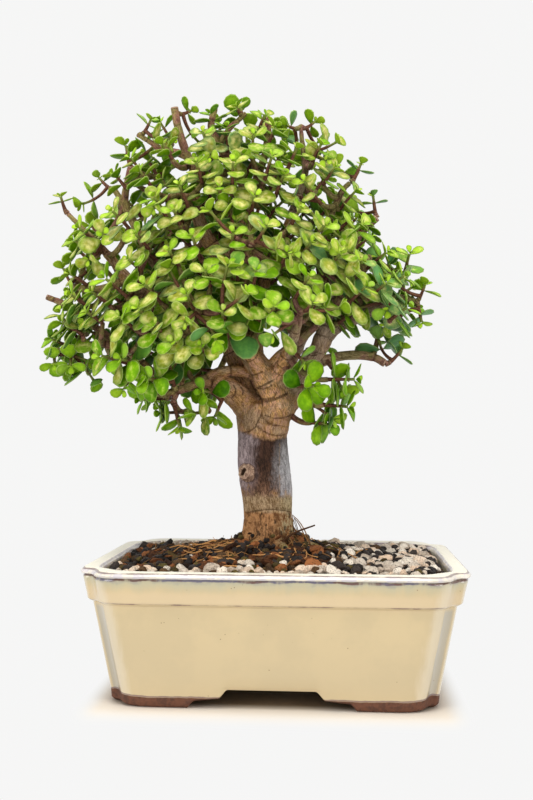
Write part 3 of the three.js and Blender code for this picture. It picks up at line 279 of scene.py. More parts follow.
# Limbs as seen from the front: [x, z, depth, radius]. The x and z of a point are those of the upright
# plane through the trunk that it is seen against, and depth is how far behind that plane it really is.
EYE = np.array([32, -569, 144])
LIMBS = {
    "left_lobe": [
        [-14.5, 144, 2, 9.8], [-15.5, 157, 4, 9.6], [-19, 169, 7, 8.2], [-24, 180, 9, 6.8],
        [-29, 191, 9, 6.1], [-37, 204, 7, 5.7], [-51, 213, 3, 5.4], [-70, 218, -1, 4.9],
        [-84, 224, -4, 4.3], [-93, 234, -6, 3.8], [-100, 243, -8, 3.1], [-109, 253, -9, 2.6],
        [-118, 262, -10, 2.1], [-127, 271, -11, 1.8],
    ],
    "right_lobe": [
        [-5.5, 136, -4, 9], [-5, 143, -5, 10.2], [-3.5, 151, -5, 10.4], [0, 159, -4, 10], [2, 165, -2, 8],
    ],
    "middle": [
        [0, 155, -6, 9.6], [-5, 167, -8, 8.7], [-10, 176, -9, 8], [-18, 187, -9, 6.6], [-26, 200, -8, 5.7],
        [-29, 215, -6, 5.4], [-31, 230, -5, 5.5], [-31, 243, -4, 5.8],
    ],
    "left_prong": [
        [-31, 240, -4, 5.4], [-42, 253, -6, 4.9], [-48, 266, -7, 4.2], [-50, 280, -6, 3.6],
        [-51, 294, -5, 3.2], [-56, 304, -5, 2.8], [-70, 308, -5, 2.4], [-78, 313, -5, 2.2], [-85, 318, -5, 2],
    ],
    "left_prong_stub": [[-49, 267, -7, 3], [-54, 274, -10, 2.5], [-59, 281, -13, 2.1]],
    "top_stub": [[-54, 301, -5, 2.6], [-58, 312, -6, 2.4], [-61, 322, -7, 2.3], [-63, 333, -8, 2.2]],
    "right_prong": [
        [-31, 240, -4, 5.2], [-22, 257, -6, 4.6], [-19, 277, -7, 3.8], [-24, 290, -6, 3.2],
        [-32, 300, -5, 2.9], [-35, 311, -5, 2.5], [-29, 321, -5, 2.1], [-20, 329, -5, 1.8],
    ],
    "top_fork": [[-35, 309, -5, 2.3], [-41, 320, -5, 2.1], [-39, 332, -6, 1.8]],
    "top_middle": [[-19, 275, -7, 2.8], [-14, 290, -4, 2.5], [-9, 305, -2, 2.1], [-7, 326, -2, 1.8]],
    "inner": [
        [-18, 186, -4, 5.6], [-14, 205, 2, 5], [-11, 220, 4, 4.6], [-7, 238, 5, 4.2], [1, 253, 5, 3.8],
        [7, 268, 4, 3.4], [12, 284, 3, 3], [15, 298, 2, 2.6], [13, 309, 1, 2.1], [12, 320, 0, 1.8],
    ],
    "right": [[0, 151, 0, 7.6], [5, 160, 0, 7.7], [10, 169, 0, 7.3], [15, 179, 1, 6.6], [20, 188, 2, 5.9]],
    "right_front": [
        [20, 185, 1, 4.7], [24, 198, -1, 4.2], [28, 210, -3, 3.9], [30, 220, -4, 3.6], [26, 234, -6, 3.3],
        [23, 247, -7, 3], [28, 261, -7, 2.7], [32, 273, -7, 2.4], [37, 283, -7, 2.1], [41, 287, -8, 1.9],
    ],
    "right_back": [
        [21, 186, 3, 4.9], [28, 197, 5, 4.5], [34, 203, 5, 4.3], [43, 207, 4, 4], [53, 212, 1, 3.5],
        [62, 217, -2, 3], [71, 219, -4, 2.5], [79, 217, -6, 2],
    ],
    "right_low": [
        [21, 181, 5, 3.5], [33, 185, 7, 2.8], [45, 186, 6, 2.7], [55, 184.5, 5, 2.4], [61, 181, 4, 2.2],
    ],
    "right_up": [
        [29, 216, -4, 3.2], [34, 232, 0, 2.9], [39, 245, 3, 2.6], [47, 257, 4, 2.4], [56, 266, 4, 2.3],
    ],
    "right_branch": [[44, 207, 4, 2.9], [48, 220, 9, 2.5], [59, 225, 13, 2.2], [70, 230, 16, 1.9]],
    "right_twig": [[30, 211, -4, 2.6], [38, 225, -12, 2.2], [46, 235, -18, 2], [52, 243, -22, 1.8]],
    "thin_tan": [[-7, 177, -8, 4.2], [0, 185, -10, 3.6], [8, 192, -12, 3], [22, 204, -13, 2.1]],
    "left_stub": [[-17, 154, -1, 9], [-25, 162, -5, 7.9], [-32, 167, -8, 6.9], [-40, 171, -11, 5.6]],
    "left_low_front": [
        [-37, 171, -11, 3.3], [-50, 168.5, -15, 2.8], [-58, 166, -18, 2.4], [-68, 163, -20, 2.2],
    ],
    "left_low_twig": [[-60, 165.5, -19, 1.9], [-63, 159, -20, 1.7]],
    "dark_arch": [[-15, 175, -4, 3.6], [-26, 177, -8, 3.1], [-37, 175.5, -11, 3.1], [-47, 170, -14, 2.6]],
    "left_low_back": [
        [-17, 163, 7, 6], [-30, 171, 14, 5], [-45, 171, 16, 4.4], [-60, 172, 14, 4], [-75, 176, 10, 3.5],
        [-84, 184, 6, 3.1], [-92, 190, 2, 2.8], [-108, 193, -2, 2.4], [-124, 190, -5, 2],
        [-137, 189, -8, 1.8],
    ],
    "far_left": [
        [-91, 189, 2, 2.5], [-104, 199, 4, 2.2], [-117, 208, 5, 2], [-127, 216, 4, 1.9], [-139, 221, 3, 1.7],
    ],
    "left_side": [[-91, 231, -6, 2.9], [-103, 226, -2, 2.6], [-113, 225, 2, 2.4], [-122, 227, 5, 2.1]],
    "left_upper": [
        [-50, 212, 3, 4.2], [-63, 228, 8, 3.7], [-75, 242, 9, 3.3], [-85, 261, 9, 2.8], [-92, 276, 8, 2.4],
        [-91, 288, 8, 2], [-89, 298, 8, 1.8],
    ],
    "left_upper_stub": [[-90, 271, 8, 2], [-95, 279, 8, 1.8], [-99, 285, 8, 1.7]],
    "back_left": [
        [-16, 160, 8, 7], [-22, 176, 20, 5.6], [-32, 196, 34, 4.8], [-43, 218, 46, 4], [-52, 240, 55, 3.2],
        [-56, 260, 60, 2.5],
    ],
    "back_right": [
        [-3, 165, 6, 6.5], [4, 180, 18, 5.4], [14, 200, 31, 4.6], [24, 221, 42, 3.8], [33, 243, 50, 3],
        [36, 260, 54, 2.4],
    ],
    "back_middle": [
        [-14, 183, 11, 5.6], [-15, 205, 24, 4.6], [-16, 230, 34, 4], [-18, 256, 41, 3.3], [-20, 283, 44, 2.5],
    ],
    "back_far_left": [[-38, 208, 41, 3.6], [-60, 218, 50, 2.9], [-82, 226, 52, 2.3]],
    "back_far_right": [[16, 204, 33, 3.6], [36, 212, 44, 2.8], [56, 220, 46, 2.2]],
    "front_left": [[-11, 178, -10, 5], [-22, 192, -25, 4], [-34, 204, -40, 3.4], [-46, 212, -52, 2.6]],
    "front_right": [[-4, 171, -10, 5], [4, 186, -26, 3.8], [9, 200, -40, 3.1], [12, 212, -50, 2.4]],
    "front_middle": [[-28, 212, -6, 4.4], [-24, 226, -22, 3.4], [-20, 240, -36, 2.8], [-17, 252, -45, 2.2]],
}
FUSED_LIMB_RADIUS = 4.6
FINE_WOOD = 0.85
# Limbs look young where they are thinner than the first radius, and wholly so at the second
YOUNG_RADII = (4.5, 1.6)

# Shoot tips as seen from the front: [x, z, depth]. These are the CAD's own shoots, in its order.
TIPS = [
    [-92, 166, -10], [-59, 144, -23], [-38, 150, -20], [-66, 186, -38], [-124, 180, -18], [-134, 181, -16],
    [-118, 203, -20], [-129, 238, 10], [-114, 243, -22], [-131, 281, -14], [-108, 292, 10], [-92, 311, 12],
    [-77, 326, -8], [-53, 331, -1], [-26, 332.5, -8], [4, 321, 4], [20, 323, 9], [33, 311, -8],
    [47, 298, -8], [54, 279, 4], [75, 245, 2], [84, 227, -9], [82, 205, -9], [71, 190, 5], [36, 166, -16],
    [31, 149, -12], [14, 182, -34], [19, 217, -61], [-4, 198, -56], [-20, 223, -66], [-56, 206, -62],
    [-66, 238, -48], [-75, 273, -40], [-42, 272, -50], [-8, 262, -57], [14, 288, -36], [38, 248, -40],
    [62, 212, -28], [-42, 303, -30], [-20, 316, 36], [-62, 298, 38], [14, 298, 40], [-98, 262, 44],
    [-34, 284, 70], [46, 268, 46], [-72, 258, 74], [-28, 246, 86], [16, 244, 78], [58, 234, 54],
    [-100, 222, 54], [-58, 212, 80], [-12, 206, 82], [-84, 190, 46], [26, 190, 58],
]
# More rosettes that show from the front, as [x, z]: their depth follows the crown's rounded front
ROSETTES = [
    [-66, 248], [-55, 222], [-25, 238], [-14, 236], [17, 232], [35, 245], [48, 241], [62, 246], [62, 228],
    [-95, 209], [-115, 212], [-80, 228], [-63, 194], [-46, 192], [-75, 280], [-60, 287], [-36, 286],
    [-15, 280], [2, 292], [12, 272], [26, 262], [18, 252], [-50, 300], [-28, 300], [-5, 303], [10, 308],
    [-104, 232], [-100, 272], [-86, 258], [-90, 243], [-120, 262], [-112, 224], [-84, 214], [-74, 204],
    [-34, 212], [-44, 236], [-52, 256], [-28, 258], [4, 246], [48, 262], [44, 282], [32, 296], [50, 226],
    [72, 232], [74, 214], [-106, 186], [-130, 206], [-84, 296], [-70, 312], [-46, 318], [-16, 316],
    [24, 310], [-136, 196], [-94, 184], [-78, 172], [-82, 160], [-70, 152], [-52, 152], [44, 172],
    [40, 156], [28, 146], [20, 168],
]
# The crown as seen from the front: [z, left edge, right edge], and [x, lowest z] of its underside
CROWN_EDGES = np.array([
    [146, -66, 36], [153, -80, 47], [160, -90, 52], [170, -138, 54], [189, -142, 70], [200, -139, 78],
    [215, -141, 86], [227, -138, 82], [240, -134, 74], [256, -131, 62], [270, -132, 55], [288, -112, 45],
    [304, -97, 43], [314, -90, 33], [323, -84, 12], [331, -72, -2], [336, -60, -26],
])
CROWN_FLOOR = np.array([
    [-142, 180], [-120, 174], [-98, 164], [-84, 150], [-46, 150], [-38, 192], [-28, 204], [12, 208],
    [30, 204], [50, 196], [70, 194], [88, 205],
])
CROWN_MIDDLE_DEPTH = 4
CROWN_DEPTH_RATIO = 0.66
SHOOT_LENGTH = 18
FULL_LEAF_SHOOT = 14
LEAST_LEAF_SIZE = 0.8
BRANCH_RADIUS = 1.5
SHOOT_RADIUS = 1.2
HANGING_LIFT = 0.14
RISING_LIFT = -0.3
TOP_LEAF_SIZE = 0.82
SMALLER_FROM = 190
SMALLEST_FROM = 280

# A shoot of the CAD's forks near its foot. Its second tip lies this far beside the first and this far
# short of it, on the side, out of so many, where there is the most room inside the crown.
FORK_PLACE = 0.16
FORK_REACH = 19
FORK_DROP = 3
FORK_BOW = 4
FORK_SIDES = 8
LIMB_ROOM = 1.6
LEAST_ROOM = 11
CROWN_SHARE = 0.94

# Leaf pairs up a stem: [place along the stem, size, spread from the stem in degrees]. The CAD's stems
# have the first two of theirs.
PAIRS = [[0.62, 1, 80], [0.95, 0.7, 62], [1, 0.36, 42]]
SMALL_SHOOT_PAIRS = [[0.3, 1, 86], [0.68, 0.92, 78], [0.92, 0.64, 60], [1, 0.3, 38]]
LEAF_LENGTH = 14.5
LEAF_WIDTH = 0.8
LEAF_THICKNESS = 1.7

# Small shoots: shells of the crown that they fill, as [how far out, room between them], and the spurs
# along the limbs
CROWN_SHELLS = [[0.96, 16.5], [0.79, 19], [0.6, 24]]
SHELL_HEIGHTS = (150, 334)
SHELL_FLOOR = 8
# Where the crown is open and carries no small shoots, seen from the front: [x, z, radius]
OPEN_PLACES = np.array([
    [-106, 276, 14], [-95, 236, 14], [-113, 230, 11], [-103, 174, 18], [-76, 165, 13], [18, 157, 14],
    [24, 140, 13], [-64, 330, 9], [-98, 258, 9], [-51, 159, 8], [-18, 330, 9], [30, 318, 8],
    [-28, 173, 14], [10, 180, 11],
])
SPUR_SPACING = 9
SPUR_ROOM = 11
SPUR_LIMB_RADIUS = 5.2
SPUR_LENGTHS = (13, 23)
SMALL_SHOOT_GROUPS = 8
STEM_LENGTH = 13
STEM_SIDES = 6
SMALL_SHOOT_VIGOUR = 1.12

# Leaf colours: the first three run from dark patches to light ones
LEAF_SHADES = {
    "deep": ((0.045, 0.155, 0.001), (0.09, 0.25, 0.002)),
    "middling": ((0.15, 0.36, 0.002), (0.23, 0.45, 0.006)),
    "dusty": ((0.34, 0.355, 0.03), (0.62, 0.59, 0.20)),
}
BRIGHT_LEAF = (0.43, 0.66, 0.035)
COOL_LEAF = (0.10, 0.30, 0.11)
LEAF_RIM = (0.52, 0.60, 0.20)


# Placing and gathering

def dice(seed):
    """Repeatable draw of numbers between 0 and 1."""
    state = seed

    def roll():
        nonlocal state
        state = (1664525 * state + 1013904223) % 2 ** 32
        return state / 2 ** 32
    return roll


def seen(x, z, depth):
    """Real place of a point that is seen from the front at x, z."""
    reach = (depth - EYE[1]) / -EYE[1]
    return np.array([EYE[0] + (x - EYE[0]) * reach, depth, EYE[2] + (z - EYE[2]) * reach])


def seen_flat(points):
    """Where real places are seen from the front, as x and z."""
    reach = (points[..., 1] - EYE[1]) / -EYE[1]
    return np.stack([EYE[axis] + (points[..., axis] - EYE[axis]) / reach for axis in (0, 2)], axis=-1)


LIMB_PATHS = {
    name: np.array([[*seen(x, z, depth), radius] for x, z, depth, radius in limb])
    for name, limb in LIMBS.items()
}


def unit(vector):
    return vector / np.linalg.norm(vector)


def smooth(low, high, value):
    """0 below low, 1 above high and an even rise between them."""
    share = np.clip((value - low) / (high - low), 0, 1)
    return share * share * (3 - 2 * share)


def link_object(name, data):
    thing = bpy.data.objects.new(name, data)
    bpy.context.scene.collection.objects.link(thing)
    return thing


def link_mesh(name, points, faces):
    mesh = bpy.data.meshes.new(name)
    mesh.from_pydata((np.asarray(points) * MM + POT_MIDDLE).tolist(), [], faces)
    return link_object(name, mesh)


def add_values(piece, values):
    """Keeps a number or a vector for each point, for the piece's material to read."""
    for name, numbers in values.items():
        numbers = np.asarray(numbers, dtype=np.float32)
        kind = "FLOAT_VECTOR" if numbers.ndim == 2 else "FLOAT"
        layer = piece.data.attributes.new(name, kind, "POINT")
        layer.data.foreach_set("vector" if numbers.ndim == 2 else "value", numbers.ravel())


def select(piece):
    bpy.ops.object.select_all(action="DESELECT")
    bpy.context.view_layer.objects.active = piece
    piece.select_set(True)


def settle(piece, finish, slot, *nodes, smooth_angle=math.pi):
    """Gives a piece its finish, its smooth shading and its place on the frame."""
    piece.data.materials.clear()
    piece.data.materials.append(finish)
    select(piece)
    bpy.ops.object.shade_smooth_by_angle(angle=smooth_angle)
    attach(piece, "root")
    if nodes:
        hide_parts(*nodes)
    return piece


def apply_modifier(piece, kind, **settings):
    """Adds a modifier to a piece and applies it."""
    select(piece)
    modifier = piece.modifiers.new(kind, kind)
    for name, value in settings.items():
        setattr(modifier, name, value)
    bpy.ops.object.modifier_apply(modifier=modifier.name)


def add_primitive(add, **settings):
    """Adds one of Blender's basic shapes."""
    bpy.ops.object.select_all(action="DESELECT")
    add(**settings)
    return bpy.context.active_object


def primitive_shape(add, **settings):
    """Points and faces of one of Blender's basic shapes."""
    piece = add_primitive(add, **settings)
    points = np.array([vertex.co for vertex in piece.data.vertices])
    faces = [list(polygon.vertices) for polygon in piece.data.polygons]
    bpy.data.objects.remove(piece)
    return points, faces


class Heap:
    """Shapes gathered into one mesh, with named values at every point."""

    def __init__(self):
        self.points = []
        self.faces = []
        self.values = {}
        self.count = 0

    def add(self, points, faces, **values):
        self.points.append(points)
        self.faces.extend([[index + self.count for index in face] for face in faces])
        for name, value in values.items():
            value = np.asarray(value, dtype=float)
            if value.ndim == 0:
                value = np.full(len(points), float(value))
            self.values.setdefault(name, []).append(value)
        self.count += len(points)

    def build(self, name):
        piece = link_mesh(name, np.concatenate(self.points), self.faces)
        add_values(piece, {key: np.concatenate(parts) for key, parts in self.values.items()})
        return piece


def loft(rings, start, end):
    """Points and faces of a closed body through rings, with a fan over each end. Each ring runs
    anticlockwise seen from the end that it leads to."""
    rings = np.asarray(rings)
    count, sides = rings.shape[:2]
    points = np.concatenate([[start], rings.reshape(-1, 3), [end]])
    faces = []
    for side in range(sides):
        after = (side + 1) % sides
        faces.append([0, 1 + after, 1 + side])
        for ring in range(count - 1):
            low = 1 + ring * sides
            faces.append([low + side, low + after, low + sides + after, low + sides + side])
        top = 1 + (count - 1) * sides
        faces.append([len(points) - 1, top + side, top + after])
    return points, faces


def sweep(line, radii, sides):
    """Rings of a round tube along a line of points."""
    angles = np.arange(sides) * 2 * math.pi / sides
    across = None
    rings = []
    for i, (point, radius) in enumerate(zip(line, radii)):
        along = unit(line[min(i + 1, len(line) - 1)] - line[max(i - 1, 0)])
        if across is None:
            across = np.array([0, 0, 1.0]) if abs(along[2]) < 0.9 else np.array([1.0, 0, 0])
        across = unit(across - along * across.dot(along))
        side = np.cross(along, across)
        ring = point + np.outer(radius * np.cos(angles), across)
        rings.append(ring + np.outer(radius * np.sin(angles), side))
    return rings


def tube(line, radii, sides):
    """Points and faces of a closed round tube along a line of points."""
    line = np.asarray(line, dtype=float)[:, :3]
    return loft(sweep(line, radii, sides), line[0], line[-1])


def bezier(start, bend, end, share):
    share = np.asarray(share)[..., None]
    return start * (1 - share) ** 2 + bend * 2 * share * (1 - share) + end * share ** 2


def eased(points, spacing):
    """A smooth line through points that have a radius as their last value, at an even spacing."""
    points = np.asarray(points, dtype=float)
    padded = np.concatenate([[2 * points[0] - points[1]], points, [2 * points[-1] - points[-2]]])
    line = []
    for i in range(1, len(padded) - 2):
        before, start, end, after = padded[i - 1:i + 3]
        steps = max(2, round(np.linalg.norm(end[:3] - start[:3]) / spacing))
        for share in np.arange(steps) / steps:
            line.append(0.5 * (2 * start + (end - before) * share
                               + (2 * before - 5 * start + 4 * end - after) * share ** 2
                               + (3 * start - before - 3 * end + after) * share ** 3))
    return np.array(line + [points[-1]])


# Finishes

class Value:
    """A number, vector or colour that varies over a surface, with Python's own sums."""

    def __init__(self, finish, socket):
        self.finish = finish
        self.socket = socket

    def _sum(self, operation, *terms):
        return self.finish.node("ShaderNodeMath", {"operation": operation}, dict(enumerate(terms)))

    def __add__(self, other):
        return self._sum("ADD", self, other)

    def __sub__(self, other):
        return self._sum("SUBTRACT", self, other)

    def __mul__(self, other):
        return self._sum("MULTIPLY", self, other)

    def __rsub__(self, other):
        return self._sum("SUBTRACT", other, self)

    __radd__ = __add__

    def __abs__(self):
        return self._sum("ABSOLUTE", self)

    def sway(self, width):
        """A noise made a wander of this width round 0."""
        return (self - 0.5) * width


class Finish:
    """A material, with short names for the nodes that its pattern is made of."""

    def __init__(self, name, **constants):
        self.material = bpy.data.materials.new(name)
        self.material.use_nodes = True
        self.tree = self.material.node_tree
        self.shader = self.tree.nodes["Principled BSDF"]
        for socket, value in constants.items():
            self.shader.inputs[socket.replace("_", " ")].default_value = value
        place = self.node("ShaderNodeTexCoord", outlet="Object")
        self.place = self.vector("SUBTRACT", place, tuple(POT_MIDDLE))
        self.millimetres = self.vector("MULTIPLY", self.place, (1000, 1000, 1000))

    def node(self, kind, settings=None, inputs=None, outlet=0):
        made = self.tree.nodes.new(kind)
        for name, value in (settings or {}).items():
            setattr(made, name, value)
        for name, value in (inputs or {}).items():
            if isinstance(value, Value):
                self.tree.links.new(value.socket, made.inputs[name])
            else:
                made.inputs[name].default_value = value
        return Value(self, made.outputs[outlet])

    def vector(self, operation, first, second):
        return self.node("ShaderNodeVectorMath", {"operation": operation}, {0: first, 1: second})

    def along(self, axis):
        """Place along an axis, in millimetres."""
        return self.node("ShaderNodeSeparateXYZ", inputs={0: self.millimetres}, outlet=axis)

    def attribute(self, name, outlet="Fac"):
        return self.node("ShaderNodeAttribute", {"attribute_name": name}, outlet=outlet)

    def noise(self, size, detail=3, roughness=0.55, vector=None, stretch=(1, 1, 1)):
        """Cloudy pattern between about 0.2 and 0.8, with patches of a size in millimetres."""
        shares = tuple(1 / (size * share) for share in stretch)
        where = self.vector("MULTIPLY", vector or self.millimetres, shares)
        return self.node("ShaderNodeTexNoise", None,
                         {"Vector": where, "Scale": 1.0, "Detail": detail, "Roughness": roughness})

    def cells(self, size, outlet="Distance"):
        """Pattern of cells of a size in millimetres."""
        where = self.vector("MULTIPLY", self.millimetres, (1 / size, 1 / size, 1 / size))
        return self.node("ShaderNodeTexVoronoi", None, {"Vector": where, "Scale": 1.0}, outlet=outlet)

    def rise(self, value, low, high):
        """0 at low and 1 at high, with an eased step between them."""
        return self.node("ShaderNodeMapRange", {"interpolation_type": "SMOOTHSTEP"},
                         {"Value": value, "From Min": low, "From Max": high})

    def band(self, value, middle, half, edge):
        """1 within half of the middle, falling to 0 over the edge's width."""
        return 1 - self.rise(abs(value - middle), half, half + edge)

    def mix(self, first, second, share):
        first, second = (colour if isinstance(colour, Value) else (*colour, 1) for colour in (first, second))
        return self.node("ShaderNodeMix", {"data_type": "RGBA"}, {0: share, 6: first, 7: second}, outlet=2)

    def layers(self, colour, coats):
        """A colour under coats, each a colour and how much it covers."""
        for coat, share in coats:
            colour = self.mix(colour, coat, share)
        return colour

    def shade(self, colour, amount):
        """A colour made lighter or darker by a number round 1."""
        grey = self.node("ShaderNodeCombineXYZ", inputs={0: amount, 1: amount, 2: amount})
        return self.vector("MULTIPLY", colour, grey)

    def paint(self, **sockets):
        for name, value in sockets.items():
            self.tree.links.new(value.socket, self.shader.inputs[name.replace("_", " ")])

    def bump(self, height, distance):
        self.paint(Normal=self.node("ShaderNodeBump", None, {"Height": height, "Distance": distance * MM}))


def glaze_finish():
    """Cream glaze, grey-green high on the band, that breaks brown where it is thin and gathers dark under the
    bead, over bare clay, with a painted highlight on each corner's bend, painted shade in each notch's hollow
    and painted light on the rim's top."""
    finish = Finish("cream_glaze", Coat_Roughness=0.05)
    height = finish.along("Z")
    cloud = finish.noise(22, detail=4)
    fine = finish.noise(2.4)
    wave = finish.noise(9)
    runs = finish.noise(5, stretch=(1, 1, 4))
    notch = finish.attribute("notch") + runs.sway(0.25)
    # Grey-blue streak in each notch's hollow below the band: partly glaze gathered there, partly painted
    # shade
    hollow = finish.band(notch, 0.95, 0.14, 0.22) * finish.rise(height, 53, 50)
    bead = finish.mix((0.86, 0.78, 0.64), (0.66, 0.61, 0.63), finish.rise(runs, 0.42, 0.6))
    # The rim's top: near white, partly its pale glaze and partly painted light
    rim_top = finish.rise(height, *RIM_TOP)
    bleed = finish.band(height + runs.sway(4), POOL_HEIGHT - 0.3, 0.5, 1.6) * finish.rise(wave, 0.35, 0.6)
    pool = finish.band(height + wave.sway(2.6), POOL_HEIGHT, 0.3, 0.6) * finish.attribute("pooling")
    ink = finish.mix((0.12, 0.045, 0.038), (0.12, 0.11, 0.18), finish.rise(cloud, 0.46, 0.56))
    thin = finish.rise(finish.attribute("thinness") + wave * 1.2 - 0.6, 0.5, 1.0)
    spots = finish.rise(finish.cells(4.2), 0.085, 0.05) * finish.rise(finish.noise(11, detail=1), 0.56, 0.62)
    clay = finish.mix((0.135, 0.049, 0.024), (0.085, 0.032, 0.017), finish.rise(fine, 0.4, 0.65))
    edge = height + wave.sway(1.6) - notch * 1.6
    bare = finish.rise(edge, CLAY_TOP + 0.35, CLAY_TOP - 0.1)
    colour = finish.layers((0.67, 0.525, 0.295), [
        ((0.62, 0.49, 0.28), finish.rise(cloud, 0.38, 0.62)),
        ((0.57, 0.455, 0.27), finish.rise(height, 50, 8) * 0.6),
        ((0.71, 0.545, 0.33), finish.band(height + wave.sway(3), PALE_STRETCH, 1.5, 4) * 0.7),
        ((0.50, 0.465, 0.31), finish.rise(height + runs.sway(5), *GREEN_STRETCH) * 0.85),
        # Painted highlight on the convex bend of each corner
        ((0.80, 0.71, 0.55), finish.band(notch, 0.45, 0.02, 0.2) * 0.5),
        # Grey-blue in the notches' hollows: partly glaze, partly painted shade
        ((0.33, 0.35, 0.35), hollow * 0.5),
        (bead, finish.rise(height, *BEAD)),
        # Rim's top, partly painted light
        ((0.99, 0.93, 0.77), rim_top),
        ((0.25, 0.24, 0.26), bleed * 0.45),
        (ink, pool * finish.rise(runs, 0.25, 0.5) * 0.9),
        ((0.17, 0.095, 0.09), thin * 0.8),
        ((0.22, 0.12, 0.06), spots * 0.8),
        ((0.16, 0.085, 0.10), finish.band(edge, CLAY_TOP + 0.55, 0.15, 0.4) * 0.8),
        (clay, bare),
    ])
    finish.paint(Base_Color=colour, Roughness=0.14 + bare * 0.6 + rim_top * 0.2 + fine * 0.06,
                 Coat_Weight=(1 - bare) * (1 - rim_top) * 0.35)
    finish.bump(fine * bare + wave * 0.25 + fine * 0.05, 0.25)
    return finish.material


def screen_finish():
    finish = Finish("drain_screen_black", Roughness=0.55)
    grain = finish.noise(1.2)
    finish.paint(Base_Color=finish.mix((0.012, 0.012, 0.012), (0.035, 0.035, 0.035), grain))
    finish.bump(grain, 0.05)
    return finish.material


def soil_finish():
    """Dark gritty bed between the lumps."""
    finish = Finish("gritty_soil", Roughness=0.95, Specular_IOR_Level=0.15)
    grit = finish.cells(1.5, outlet="Color")
    patch = finish.noise(7, detail=5)
    colour = finish.mix((0.018, 0.011, 0.007), (0.07, 0.038, 0.018), finish.rise(patch, 0.4, 0.65))
    tone = finish.node("ShaderNodeSeparateXYZ", inputs={0: grit}, outlet="X")
    colour = finish.shade(colour, 0.45 + tone * 1.1)
    finish.paint(Base_Color=colour)
    finish.bump(finish.cells(1.5) * 0.8 + patch, 1.2)
    return finish.material


def stone_finish(name, dark, light, roughness, pore, warm=None):
    """Stone or lump with a tone of its own, a cloudy surface and small pores."""
    finish = Finish(name, Roughness=roughness, Specular_IOR_Level=0.2)
    tone = finish.attribute("tone")
    patch = finish.noise(1.6, detail=4)
    colour = finish.mix(dark, light, finish.rise(tone + patch * 0.7 - 0.35, 0.0, 1.0))
    if warm:
        colour = finish.mix(colour, warm, finish.rise(finish.attribute("warmth"), 0.55, 0.95) * 0.8)
    pits = finish.rise(finish.cells(pore), 0.2, 0.45)
    colour = finish.shade(colour, 0.62 + pits * 0.42)
    finish.paint(Base_Color=colour)
    finish.bump(pits * 0.5 + patch, 0.45)
    return finish.material


def fibre_finish():
    finish = Finish("root_fibre", Roughness=0.8, Specular_IOR_Level=0.2)
    tone = finish.attribute("tone")
    streak = finish.noise(1.1, detail=3)
    colour = finish.mix((0.07, 0.03, 0.012), (0.68, 0.34, 0.12), finish.rise(tone, 0.1, 0.9))
    finish.paint(Base_Color=finish.shade(colour, 0.7 + streak * 0.6))
    finish.bump(streak, 0.1)
    return finish.material


